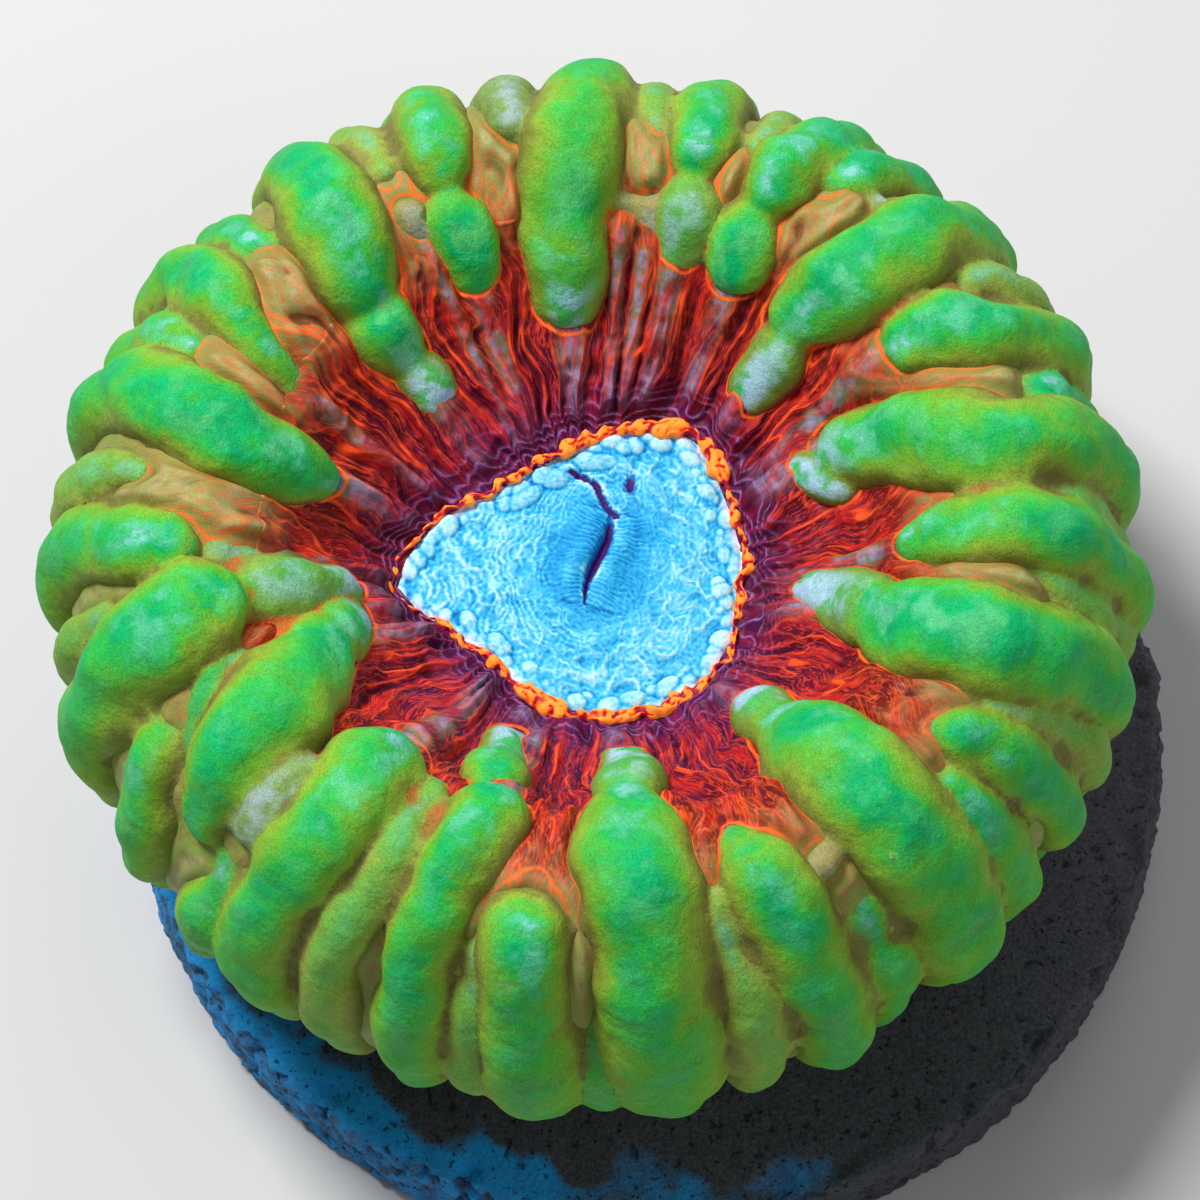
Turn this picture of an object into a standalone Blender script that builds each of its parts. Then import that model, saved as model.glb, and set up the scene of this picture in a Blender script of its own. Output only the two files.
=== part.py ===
"""Cynarina coral: one fleshy polyp, a crown of swollen lobes round a flat oral disc,
grown on a round cement disc that it stands on.

Metres, +Z up. The origin is the centre of the cement disc's flat underside.
"""
import math
from collections import namedtuple

import bmesh
import bpy
from mathutils import Vector, noise

MM = 0.001

# Cement disc: a flat round casting with a rough, slightly rounded rim.
DISC_RADIUS = 38 * MM
DISC_HEIGHT = 7 * MM
DISC_EDGE = 0.8 * MM
DISC_ROUGHNESS = 0.45 * MM
DISC_LUMP = 5 * MM
DISC_SEGMENTS = 64
DISC_WALL_RINGS = 4

# Polyp: its axis stands a little off the disc's, and its foot is cut flat just over the disc.
GAP = 0.3 * MM
FOOT_HEIGHT = DISC_HEIGHT + GAP
FOOT_SPARE = 1.5 * MM
POLYP_AXIS = Vector((-4 * MM, 3.5 * MM, 0))
BODY_SEGMENTS = 96
BODY_RINGS = 56

# Radius and height, in millimetres, of the curve that the lobes' crests touch: from the mouth
# over the flat oral disc, up the inner slope, over the crown and down to the foot.
CREST = ((0, 27.5), (8, 27.5), (12, 28.2), (16, 31.8), (20, 36.8), (24.5, 40.8), (29, 41.6),
         (33.2, 38.6), (36.4, 33), (37.9, 27), (37.2, 20.5), (34, 14), (30, 10), (26, 8))
CREST_SAMPLES = 400
CREST_STEP = 0.5        # half the stretch that gives the curve's slope at a place

# How far the flesh between the lobes lies below that curve: distance along the curve, depth.
VALLEY = ((0, 0.3), (9, 0.3), (12, 0.2), (16, 1.0), (20, 2.2), (25, 3.1), (33, 3.7), (43, 3.5),
          (53, 3.3), (60, 2.6), (66, 1.4), (76, 0.5))

# Radius of the oral disc's beaded rim, in millimetres, every 30 degrees from +X.
ORAL_RIM = (10.7, 10.1, 12.0, 9.7, 8.3, 9.9, 13.6, 9.6, 9.3, 11.0, 10.7, 9.7)
RIM_HEIGHT = 27.9 * MM
RIM_BEAD = 0.75 * MM
RIM_POINTS = 72

# Mouth: a narrow slit in the oral disc.
MOUTH_CENTRE = Vector((0.6 * MM, 1.0 * MM))
MOUTH_ANGLE = math.radians(75)
MOUTH_LENGTH = 8.5 * MM
MOUTH_WIDTH = 3.2 * MM
MOUTH_DEPTH = 2.6 * MM
MOUTH_FLOOR = RIM_HEIGHT - 3 * MM   # only flesh above this height is pressed in

# A lobe is a swollen fold that runs outwards over the crown. Each point of its path gives the
# azimuth from +X in degrees, the distance along the crest curve in millimetres, and the
# lobe's half width in millimetres. They go round anticlockwise, seen from above.
Lobe = namedtuple("Lobe", "name path")
LOBES = (
    Lobe("east_small", ((1.5, 38, 1.0), (1.8, 43, 1.5), (2, 49, 1.7), (2.5, 56, 1.5))),
    Lobe("east_north_east", ((23, 18, 2.1), (16, 24, 3.4), (10, 29.5, 3.8), (7.5, 34.5, 3.6),
                             (8.7, 39, 3.1), (10, 46, 3.4), (10, 54, 3.4), (10, 61, 2.5))),
    Lobe("east_north_east_tail", ((26, 15.5, 1.2), (19, 17.5, 1.6), (10, 19.5, 1.0))),
    Lobe("east_north_east_bump", ((16.5, 38, 1.4), (17, 42, 1.9), (17, 50, 2.0), (17, 58, 1.6))),
    Lobe("north_east_low", ((30, 26, 2.0), (27.5, 31.5, 2.9), (25, 37, 2.9), (24, 44, 2.9),
                            (24.5, 53, 3.1), (25, 61, 2.2))),
    Lobe("north_east_fold", ((33, 37, 1.2), (32, 44, 2.0), (32, 53, 2.2), (32, 60, 1.6))),
    Lobe("north_east", ((49, 21.5, 2.0), (44.5, 26, 3.4), (42, 31, 3.6), (41, 38, 3.4),
                        (40.5, 46, 3.3), (40, 54, 3.4), (40, 62, 2.3))),
    Lobe("north_east_tail", ((48, 14.5, 1.3), (46.5, 18.5, 2.3), (45, 23, 2.3))),
    Lobe("north_east_pearl", ((48.6, 35, 1.0), (48.2, 38.5, 1.3))),
    Lobe("north_north_east_rim", ((55, 33, 1.4), (54, 38, 2.2), (51.5, 45, 2.6), (50, 54, 2.8),
                                  (50, 61, 2.0))),
    Lobe("north_north_east_head", ((62.5, 22, 1.6), (62.5, 26, 2.4), (62.3, 30, 2.0))),
    Lobe("north_north_east", ((62, 28.5, 2.1), (61.5, 33, 2.7), (60, 39, 2.7), (59, 46, 2.8),
                              (59, 54, 2.9), (59, 61, 1.9))),
    Lobe("north_seam", ((67, 34, 0.9), (66.5, 40, 1.3), (67, 50, 1.8), (67, 59, 1.6))),
    Lobe("north_right_head", ((74, 22, 1.6), (74, 26.5, 2.3), (74, 30.5, 1.9))),
    Lobe("north_right", ((74, 29.5, 2.0), (74.2, 34, 2.6), (75, 40, 2.6), (75.5, 47, 2.9),
                         (75, 55, 3.0), (75, 61, 2.0))),
    Lobe("north_bean", ((80, 23, 0.9), (80.5, 28, 1.3))),
    Lobe("north_bean_small", ((85, 24.5, 0.8), (84.8, 28, 1.1))),
    Lobe("north_seam_left", ((80.5, 33, 0.9), (82, 38, 1.2), (82.5, 48, 1.8), (82.5, 58, 1.6))),
    Lobe("north", ((95.5, 17, 1.9), (95.3, 21, 3.1), (94.5, 26, 3.8), (93, 31, 3.8), (91.5, 36, 3.6),
                   (90.3, 42, 3.3), (90.3, 50, 3.2), (90.3, 57, 3.0), (90.3, 62, 2.2))),
    Lobe("north_left_pearl", ((102, 33, 1.1), (101.3, 37, 1.9), (100.6, 44, 2.2), (100.5, 53, 2.4),
                              (100.5, 60, 1.7))),
    Lobe("north_left_bump", ((106.3, 28, 0.9), (105.8, 31.5, 1.2))),
    Lobe("north_north_west_head", ((114, 21, 1.5), (113.5, 25.5, 2.4), (113, 30.5, 2.1))),
    Lobe("north_north_west", ((113, 29, 1.9), (112.5, 34, 2.8), (111.5, 39, 2.9), (110.3, 46, 3.0),
                              (110, 54, 3.1), (110, 61, 2.1))),
    Lobe("north_west_bean", ((120.3, 27, 0.9), (120, 30.5, 1.2))),
    Lobe("north_west_seam", ((120, 33, 1.0), (119.5, 38, 1.4), (118.5, 47, 2.0), (118.5, 57, 1.8))),
    Lobe("north_west_tail", ((133, 13.5, 1.2), (134, 17, 2.0), (134.8, 21, 2.2))),
    Lobe("north_west_head", ((134.8, 19, 2.0), (134.3, 22.5, 2.9), (133.5, 26.5, 2.8))),
    Lobe("north_west", ((133.8, 24, 2.7), (132.5, 29.5, 3.7), (130.5, 34.5, 3.6), (128, 40, 3.3),
                        (126.5, 47, 3.0), (126.5, 55, 3.0), (126.5, 62, 2.0))),
    Lobe("north_west_rim", ((141, 34.5, 1.2), (139.8, 38, 1.8), (138, 45, 2.2), (136.5, 54, 2.6),
                            (136.5, 61, 1.8))),
    Lobe("west_north_west", ((155.5, 24, 1.1), (153.5, 29, 1.7), (151.3, 33.5, 2.5), (148.5, 38, 2.8),
                             (146, 44, 2.9), (146, 53, 3.0), (146, 61, 2.1))),
    Lobe("west_north_west_rim", ((158, 34.5, 1.2), (156.3, 38, 1.8), (154.5, 45, 2.2),
                                 (154.5, 54, 2.4), (154.5, 61, 1.7))),
    Lobe("west_big", ((166.5, 19, 1.6), (169.5, 24, 2.7), (170.5, 29, 3.4), (168.3, 33.5, 3.5),
                      (165, 38, 3.2), (162.8, 44, 3.0), (163, 53, 3.0), (163, 61, 2.2))),
    Lobe("west_big_rim", ((176.5, 36.5, 1.1), (175, 40, 1.6), (173, 46, 2.1), (172, 54, 2.4),
                          (172, 60, 1.6))),
    Lobe("west_tail", ((186, 20, 0.9), (188.3, 28, 1.2), (188.3, 31, 1.4))),
    Lobe("west", ((188.5, 31.5, 1.6), (186.5, 36.5, 2.7), (183.5, 41.5, 3.0), (181.3, 47, 2.9),
                  (181, 54, 3.0), (181, 61, 2.1))),
    Lobe("west_small", ((191.8, 42, 1.2), (191, 46.5, 1.6), (190.3, 52, 1.9), (190, 59, 1.5))),
    Lobe("west_south_west_tail", ((190, 16.5, 1.3), (192.3, 21, 2.1), (195.5, 26, 2.6), (197, 30, 2.6))),
    Lobe("west_south_west", ((196, 28, 2.6), (197.8, 33, 3.8), (199, 38.5, 4.2), (199.5, 44, 4.0),
                             (199.7, 50, 3.8), (200, 56, 3.4), (200, 62, 2.4))),
    Lobe("south_west_fold", ((204.5, 29.5, 0.9), (207, 33, 1.3), (209.5, 37, 1.4),
                             (212.5, 40.5, 1.4), (216, 43.5, 1.2))),
    Lobe("south_west_under", ((208.5, 40, 1.6), (210.5, 44, 2.5), (212.5, 49, 2.8), (212.5, 55, 2.6),
                              (212, 61, 1.8))),
    Lobe("south_west_bean", ((198, 17.5, 1.8), (202.5, 20, 2.6), (207, 23.5, 2.8))),
    Lobe("south_west", ((204.5, 20.5, 2.4), (210, 24.5, 3.5), (214.5, 28.5, 3.9), (217.5, 33, 3.7),
                        (218.7, 38, 3.4), (219, 42, 2.6), (219.5, 46.5, 2.0))),
    Lobe("south_west_cap", ((224, 43.5, 1.3), (225.3, 47.5, 1.9), (224.5, 53, 2.6), (223, 60, 1.9))),
    Lobe("south_west_pale", ((227.5, 31, 1.2), (226.8, 35, 1.9), (225.5, 39, 2.0), (225, 43, 1.4))),
    Lobe("south_west_big", ((233.8, 24.5, 2.4), (234.3, 28.5, 3.4), (234.3, 33, 3.5), (233.8, 38, 3.4),
                            (232.5, 43, 3.2), (231.5, 48.5, 3.1), (232.5, 55, 3.0), (233, 61, 2.1))),
    Lobe("south_west_pearl", ((231, 15.5, 1.0), (232, 19, 1.4))),
    Lobe("south_south_west_slim", ((243, 25.5, 1.0), (243.3, 32, 1.5), (242.8, 38, 1.8),
                                   (240.8, 43, 2.1), (240.5, 49, 2.3), (241.5, 56, 2.2),
                                   (242, 61, 1.6))),
    Lobe("south_south_west_bean", ((247.8, 12.5, 1.5), (249, 16.5, 2.3), (250.5, 21, 2.3), (252, 25, 2.0))),
    Lobe("south_south_west", ((253.8, 24.5, 2.2), (253.2, 28.5, 3.0), (252, 33, 2.8), (250.7, 37, 2.4),
                              (250.2, 41.5, 2.6), (250, 47, 2.6), (250.5, 54, 2.7), (251, 61, 2.0))),
    Lobe("south_seam_left", ((256.5, 40, 0.9), (256.8, 47, 1.5), (257, 55, 1.8), (257.3, 61, 1.3))),
    Lobe("south_left", ((262.3, 34, 2.0), (262.3, 38.5, 3.2), (262.5, 44, 3.3), (263.3, 50, 3.6),
                        (264, 56.5, 3.8), (264.3, 62, 2.7))),
    Lobe("south_seam", ((270.5, 44, 0.9), (270.7, 49, 1.5), (271, 55, 2.1), (271, 61, 1.6))),
    Lobe("south_tail", ((279, 12.5, 1.4), (278, 17, 2.2), (277, 21, 2.6), (276.5, 25, 2.6))),
    Lobe("south", ((276.3, 22.5, 3.0), (275.7, 27, 4.0), (275.8, 32, 4.2), (276.5, 38, 4.3),
                   (277, 45, 4.4), (277.7, 52, 4.4), (278.3, 58, 3.9), (278.3, 63, 2.6))),
    Lobe("south_right_seam", ((285.7, 36, 0.9), (286, 41, 1.3), (287.5, 46.5, 2.1), (288, 53, 2.4),
                              (288, 60, 1.8))),
    Lobe("south_south_east", ((290.8, 28.5, 1.0), (291.3, 34, 2.2), (293, 39.5, 3.1), (294.8, 45, 3.2),
                              (296.3, 51, 3.1), (297, 57, 2.9), (297, 62, 2.1))),
    Lobe("south_east_knob", ((299.8, 36, 1.2), (301.2, 38.8, 1.5))),
    Lobe("south_east_slim", ((302, 41, 1.3), (302.8, 46, 1.8), (304, 52, 2.2), (304.5, 60, 1.7))),
    Lobe("south_east_tail", ((314.3, 12, 1.3), (313, 16, 2.1), (312, 20, 2.5), (311.5, 23.5, 2.4))),
    Lobe("south_east", ((311.5, 19.5, 2.7), (310.7, 24, 3.8), (309.7, 29, 4.3), (310, 34.5, 4.3),
                        (311.2, 40, 4.1), (312.2, 46, 4.1), (312.8, 53, 3.8), (313, 61, 2.5))),
    Lobe("south_east_side", ((306.2, 38, 1.0), (306.8, 43, 1.4), (308, 49, 1.4))),
    Lobe("east_south_east_low", ((319.3, 37.5, 1.4), (319.7, 42.5, 2.2), (321, 48, 2.5),
                                 (322, 55, 2.5), (322.5, 61, 1.8))),
    Lobe("east_south_east", ((321.5, 32.5, 1.3), (325, 37, 2.1), (328, 42.5, 2.4), (330, 48, 2.5),
                             (331.5, 55, 2.4), (332, 61, 1.7))),
    Lobe("east_south_east_fold", ((330, 36.5, 0.9), (333.5, 41.5, 1.3), (336.5, 47.5, 1.8),
                                  (338.5, 54, 2.1), (339.5, 60, 1.6))),
    Lobe("east_tail", ((352, 13, 1.4), (347.5, 17, 2.3), (342.5, 21.5, 2.9), (340, 25, 2.9))),
    Lobe("east_south_east_big", ((343, 22, 2.6), (338.3, 26, 3.8), (337, 31, 4.2), (338.3, 36, 4.1),
                                 (340.5, 41, 3.7), (343.3, 46.5, 3.4), (345.5, 53, 3.1),
                                 (346.5, 60, 2.2))),
    Lobe("east_seam", ((350.3, 37, 0.9), (350, 42, 1.5), (350.3, 48, 1.9), (351.5, 55, 1.8))),
    Lobe("east", ((353.2, 23, 1.5), (354, 28, 2.5), (355, 33, 2.9), (355.7, 38.5, 3.2),
                  (356.3, 45, 3.1), (357, 53, 3.1), (357.3, 61, 2.2))),
)
# A lobe's axis lies at least LOBE_SINK half widths below the crest curve, and no further above
# the flesh between the lobes than LOBE_RISE half widths, so that slim folds lie in the valleys.
LOBE_SINK = 0.75
LOBE_RISE = 0.35
LOBE_STEPS = 20
LOBE_SIDES = 4
# A lobe that reaches the outer wall runs on down it as a thinner rib.
WALL_START = 55
RIB_END = 69
RIB_HALF_WIDTH = 1.3
TIP_SHARE = 0.1         # a lobe's two ends close to this share of its width

# The body and the lobes are fused into one skin, relaxed, and cut down to few faces.
FUSE_SIZE = 0.65 * MM
RELAX_FACTOR = 0.5
RELAX_ROUNDS = 3
KEEP_SHARE = 0.076

POLYP_COLOUR = (0.09, 0.42, 0.10, 1)
DISC_COLOUR = (0.045, 0.06, 0.10, 1)


def clear_scene():
    """Remove every object that the scene starts with."""
    for old in list(bpy.data.objects):
        bpy.data.objects.remove(old, do_unlink=True)


def make_material(name, colour, roughness):
    """A plain Principled material."""
    material = bpy.data.materials.new(name)
    material.use_nodes = True
    shader = material.node_tree.nodes["Principled BSDF"]
    shader.inputs["Base Color"].default_value = colour
    shader.inputs["Roughness"].default_value = roughness
    shader.inputs["Metallic"].default_value = 0.0
    return material


def smooth_curve(points, count):
    """Catmull-Rom curve through the points, as so many samples, evenly spaced from point to point."""
    points = [Vector(p) for p in points]
    ends = [2 * points[0] - points[1]] + points + [2 * points[-1] - points[-2]]
    spans = len(points) - 1
    samples = []
    for i in range(count):
        place = spans * i / (count - 1)
        span = min(int(place), spans - 1)
        t = place - span
        a, b, c, d = ends[span:span + 4]
        samples.append(0.5 * (2 * b + (c - a) * t + (2 * a - 5 * b + 4 * c - d) * t ** 2
                              + (3 * b - a - 3 * c + d) * t ** 3))
    return samples


def look_up(table, place):
    """Straight-line value at a place in a table of (place, value) pairs."""
    for (low, start), (high, end) in zip(table, table[1:]):
        if place <= high:
            return start + (end - start) * (place - low) / (high - low)
    return table[-1][1]


def measured_crest():
    """The crest curve as (distance along it, radius, height) in millimetres."""
    curve = smooth_curve(CREST, CREST_SAMPLES)
    rows = [(0.0, curve[0].x, curve[0].y)]
    for before, here in zip(curve, curve[1:]):
        rows.append((rows[-1][0] + (here - before).length, here.x, here.y))
    return rows


CREST_ROWS = measured_crest()
CREST_RADII = [(row[0], row[1]) for row in CREST_ROWS]
CREST_HEIGHTS = [(row[0], row[2]) for row in CREST_ROWS]
CREST_LENGTH = CREST_ROWS[-1][0]


def crest_point(distance, depth):
    """Radius and height, in millimetres, at a distance along the crest curve and a depth below it."""
    low = max(distance - CREST_STEP, 0)
    high = min(distance + CREST_STEP, CREST_LENGTH)
    run = look_up(CREST_RADII, high) - look_up(CREST_RADII, low)
    rise = look_up(CREST_HEIGHTS, high) - look_up(CREST_HEIGHTS, low)
    length = math.hypot(run, rise)
    radius = look_up(CREST_RADII, distance) + depth * rise / length
    height = look_up(CREST_HEIGHTS, distance) - depth * run / length
    return radius, height


def dome_point(azimuth, distance, depth):
    """Point in metres at an azimuth in degrees, at a distance along the crest curve."""
    radius, height = crest_point(distance, depth)
    angle = math.radians(azimuth)
    return POLYP_AXIS + Vector((radius * math.cos(angle), radius * math.sin(angle), height)) * MM


def rim_radius(angle):
    """Radius of the oral disc's rim, in metres, at an angle in radians."""
    count = len(ORAL_RIM)
    place = (angle / (2 * math.pi) * count) % count
    index = int(place)
    t = place - index
    blend = t * t * (3 - 2 * t)
    return (ORAL_RIM[index] * (1 - blend) + ORAL_RIM[(index + 1) % count] * blend) * MM


def mouth_dent(point):
    """How deep the mouth's slit is at a point of the oral disc."""
    along = Vector((math.cos(MOUTH_ANGLE), math.sin(MOUTH_ANGLE)))
    offset = Vector((point.x, point.y)) - Vector((POLYP_AXIS.x, POLYP_AXIS.y)) - MOUTH_CENTRE
    u = offset.dot(along) / (MOUTH_LENGTH / 2)
    v = (offset.x * along.y - offset.y * along.x) / (MOUTH_WIDTH / 2)
    return MOUTH_DEPTH * max(0.0, 1 - u * u - v * v)


def body_ring_distances():
    """Distances along the crest curve of the body's rings."""
    return [CREST_LENGTH * (i + 1) / BODY_RINGS for i in range(BODY_RINGS)]


def make_body():
    """The flesh between the lobes: a turned form with the mouth's slit, closed below."""
    bm = bmesh.new()
    centre = bm.verts.new(dome_point(0, 0, VALLEY[0][1]))
    rings = []
    for distance in body_ring_distances():
        depth = look_up(VALLEY, distance)
        ring = [bm.verts.new(dome_point(360 * k / BODY_SEGMENTS, distance, depth))
                for k in range(BODY_SEGMENTS)]
        rings.append(ring)
    for vert in bm.verts:
        if vert.co.z > MOUTH_FLOOR:
            vert.co.z -= mouth_dent(vert.co)
    foot = [bm.verts.new((vert.co.x, vert.co.y, FOOT_HEIGHT - FOOT_SPARE)) for vert in rings[-1]]
    rings.append(foot)
    for k in range(BODY_SEGMENTS):
        bm.faces.new((centre, rings[0][k], rings[0][(k + 1) % BODY_SEGMENTS]))
    for inner, outer in zip(rings, rings[1:]):
        for k in range(BODY_SEGMENTS):
            n = (k + 1) % BODY_SEGMENTS
            bm.faces.new((inner[k], outer[k], outer[n], inner[n]))
    bm.faces.new(list(reversed(foot)))
    mesh = bpy.data.meshes.new("body")
    bm.to_mesh(mesh)
    bm.free()
    return mesh


def tube_mesh(name, points, radii, closed):
    """Mesh of a round tube whose radius changes along its path."""
    curve = bpy.data.curves.new(name, "CURVE")
    curve.dimensions = "3D"
    curve.bevel_depth = 1.0
    curve.bevel_resolution = LOBE_SIDES
    curve.use_fill_caps = not closed
    spline = curve.splines.new("POLY")
    spline.points.add(len(points) - 1)
    spline.use_cyclic_u = closed
    for slot, point, radius in zip(spline.points, points, radii):
        slot.co = (*point, 1.0)
        slot.radius = radius
    holder = bpy.data.objects.new(name, curve)
    bpy.context.collection.objects.link(holder)
    mesh = evaluated_mesh(holder)
    bpy.data.objects.remove(holder)
    return mesh


def evaluated_mesh(obj):
    """A copy of an object's mesh with its modifiers applied."""
    bpy.context.view_layer.update()
    graph = bpy.context.evaluated_depsgraph_get()
    return bpy.data.meshes.new_from_object(obj.evaluated_get(graph))


def whole_path(lobe):
    """A lobe's path, carried on down the outer wall where it gets that far."""
    azimuth, distance, _ = lobe.path[-1]
    if distance > WALL_START:
        return lobe.path + ((azimuth, RIB_END, RIB_HALF_WIDTH),)
    return lobe.path


def lobe_mesh(lobe):
    """A swollen fold with rounded ends, half sunk in the flesh between the lobes."""
    points = []
    widths = []
    for azimuth, distance, width in smooth_curve(whole_path(lobe), LOBE_STEPS):
        depth = max(width * LOBE_SINK, look_up(VALLEY, distance) - width * LOBE_RISE)
        points.append(dome_point(azimuth, distance, depth))
        widths.append(width * MM)
    runs = [0.0]
    for before, here in zip(points, points[1:]):
        runs.append(runs[-1] + (here - before).length)
    radii = []
    for run, width in zip(runs, widths):
        tip = min(run, runs[-1] - run) / width
        rounding = math.sqrt(1 - (1 - tip) ** 2) if tip < 1 else 1.0
        radii.append(width * max(rounding, TIP_SHARE))
    return tube_mesh(lobe.name, points, radii, closed=False)


def rim_mesh():
    """The raised rim round the oral disc."""
    points = []
    for k in range(RIM_POINTS):
        angle = 2 * math.pi * k / RIM_POINTS
        radius = rim_radius(angle)
        points.append(POLYP_AXIS + Vector((radius * math.cos(angle), radius * math.sin(angle),
                                           RIM_HEIGHT - RIM_BEAD / 2)))
    return tube_mesh("rim", points, [RIM_BEAD] * RIM_POINTS, closed=True)


def fused_object(name, meshes):
    """One object whose modifiers fuse closed meshes into one relaxed skin of few faces."""
    bm = bmesh.new()
    for mesh in meshes:
        bm.from_mesh(mesh)
        bpy.data.meshes.remove(mesh)
    joined = bpy.data.meshes.new(name)
    bm.to_mesh(joined)
    bm.free()
    obj = bpy.data.objects.new(name, joined)
    bpy.context.collection.objects.link(obj)
    fuse = obj.modifiers.new("fuse", "REMESH")
    fuse.mode = "VOXEL"
    fuse.voxel_size = FUSE_SIZE
    relax = obj.modifiers.new("relax", "SMOOTH")
    relax.factor = RELAX_FACTOR
    relax.iterations = RELAX_ROUNDS
    thin = obj.modifiers.new("thin", "DECIMATE")
    thin.ratio = KEEP_SHARE
    return obj


def cut_foot_flat(bm):
    """Cut the skin off level just over the disc, and close the cut."""
    geometry = bm.verts[:] + bm.edges[:] + bm.faces[:]
    cut = bmesh.ops.bisect_plane(bm, geom=geometry, dist=1e-7, plane_co=(0, 0, FOOT_HEIGHT),
                                 plane_no=(0, 0, 1), clear_inner=True)
    edges = [item for item in cut["geom_cut"] if isinstance(item, bmesh.types.BMEdge)]
    bmesh.ops.contextual_create(bm, geom=edges)
    bmesh.ops.triangulate(bm, faces=bm.faces[:])


def make_polyp():
    """The whole polyp as one closed skin."""
    meshes = [make_body(), rim_mesh()]
    meshes += [lobe_mesh(lobe) for lobe in LOBES]
    rough = fused_object("coral", meshes)
    mesh = evaluated_mesh(rough)
    bpy.data.objects.remove(rough)
    bm = bmesh.new()
    bm.from_mesh(mesh)
    cut_foot_flat(bm)
    bm.to_mesh(mesh)
    bm.free()
    mesh.name = "coral"
    mesh.shade_smooth()
    mesh.materials.clear()
    mesh.materials.append(make_material("coral_flesh", POLYP_COLOUR, 0.35))
    obj = bpy.data.objects.new("coral", mesh)
    bpy.context.collection.objects.link(obj)
    return obj


def disc_wall(height_share, angle):
    """Radius of the disc's wall, roughened as a broken casting is."""
    edge = min(height_share, 1 - height_share) * DISC_HEIGHT
    inset = DISC_EDGE - edge if edge < DISC_EDGE else 0.0
    place = Vector((DISC_RADIUS * math.cos(angle), DISC_RADIUS * math.sin(angle),
                    height_share * DISC_HEIGHT))
    return DISC_RADIUS - inset - DISC_ROUGHNESS * (1 + noise.noise(place / DISC_LUMP))


def make_disc():
    """The cement disc: flat above and below, with a rough rounded rim."""
    bm = bmesh.new()
    shares = [0.0] + [(i + 1) / (DISC_WALL_RINGS + 1) for i in range(DISC_WALL_RINGS)] + [1.0]
    rings = []
    for share in shares:
        ring = []
        for k in range(DISC_SEGMENTS):
            angle = 2 * math.pi * k / DISC_SEGMENTS
            radius = disc_wall(share, angle)
            ring.append(bm.verts.new((radius * math.cos(angle), radius * math.sin(angle),
                                      share * DISC_HEIGHT)))
        rings.append(ring)
    for low, high in zip(rings, rings[1:]):
        for k in range(DISC_SEGMENTS):
            n = (k + 1) % DISC_SEGMENTS
            bm.faces.new((low[k], low[n], high[n], high[k]))
    bm.faces.new(list(reversed(rings[0])))
    bm.faces.new(rings[-1])
    bmesh.ops.triangulate(bm, faces=bm.faces[:])
    mesh = bpy.data.meshes.new("frag_disc")
    bm.to_mesh(mesh)
    bm.free()
    mesh.materials.append(make_material("disc_cement", DISC_COLOUR, 0.85))
    obj = bpy.data.objects.new("frag_disc", mesh)
    bpy.context.collection.objects.link(obj)
    return obj


clear_scene()
make_disc()
make_polyp()
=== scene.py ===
"""Looks of a cynarina coral on its round cement disc.

The flesh is a pleated skin with swollen lobes rising through it, a wrinkled oral disc with an
orange rim, and below it all the rough disc. Working sizes are in millimetres, measured from
the polyp's own axis; they become metres when a piece's mesh is set.
"""
import itertools
import math
from collections import namedtuple

import bpy
import numpy as np
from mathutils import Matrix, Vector


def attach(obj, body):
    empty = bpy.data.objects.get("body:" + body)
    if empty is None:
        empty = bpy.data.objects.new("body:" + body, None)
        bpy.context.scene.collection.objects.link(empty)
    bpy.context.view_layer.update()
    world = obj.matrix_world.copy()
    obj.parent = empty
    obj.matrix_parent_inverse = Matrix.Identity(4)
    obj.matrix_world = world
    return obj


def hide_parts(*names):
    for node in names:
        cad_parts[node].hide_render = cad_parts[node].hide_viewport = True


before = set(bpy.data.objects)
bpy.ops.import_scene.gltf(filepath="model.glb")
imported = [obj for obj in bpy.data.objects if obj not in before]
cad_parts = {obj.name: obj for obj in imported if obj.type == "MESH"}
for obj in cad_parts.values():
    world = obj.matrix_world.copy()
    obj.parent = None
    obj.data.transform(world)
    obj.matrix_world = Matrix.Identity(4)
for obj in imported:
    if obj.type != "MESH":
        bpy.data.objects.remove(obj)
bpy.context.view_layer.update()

MM = 0.001

# Camera: the photograph's tilt, distance and framing, for a square picture.
VIEW_TARGET = Vector((-3.5, 1.5, 26.6)) * MM
VIEW_TILT = math.radians(66)
VIEW_DISTANCE = 380 * MM
SENSOR = 36.0
PICTURE_WIDTH = 1200
POINTS_PER_MM = 14.4    # picture points to the millimetre at the target
LENS = SENSOR * POINTS_PER_MM * (VIEW_DISTANCE / MM) / PICTURE_WIDTH

# Cement disc and polyp axis, as the solids have them.
DISC_HEIGHT = 7.0
AXIS = np.array([-4.0, 3.5, 0.0])
FOOT_HEIGHT = 7.3

# Curve that the lobes' crests touch, radius and height: over the oral disc, up the inner
# slope, over the crown and down to the foot.
CREST = np.array([(0, 27.5), (8, 27.5), (12, 28.2), (16, 31.8), (20, 36.8), (24.5, 40.8), (29, 41.6),
                  (33.2, 38.6), (36.4, 33), (37.9, 27), (37.2, 20.5), (34, 14), (30, 10), (26, 8)])

# How deep under the crest curve the skin between the lobes lies, by distance along the curve,
# and the deeper valley that the lobes' own axes are set from.
VALLEY = np.array([(0, 0.3), (9, 0.3), (12, 0.2), (16, 0.9), (20, 1.7), (25, 2.0), (33, 2.4),
                   (43, 2.2), (53, 2.2), (60, 1.8), (66, 1.2), (76, 0.5)])
LOBE_VALLEY = np.array([(0, 0.3), (9, 0.3), (12, 0.2), (16, 1.0), (20, 2.2), (25, 3.1), (33, 3.7),
                        (43, 3.5), (53, 3.3), (60, 2.6), (66, 1.4), (76, 0.5)])

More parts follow.
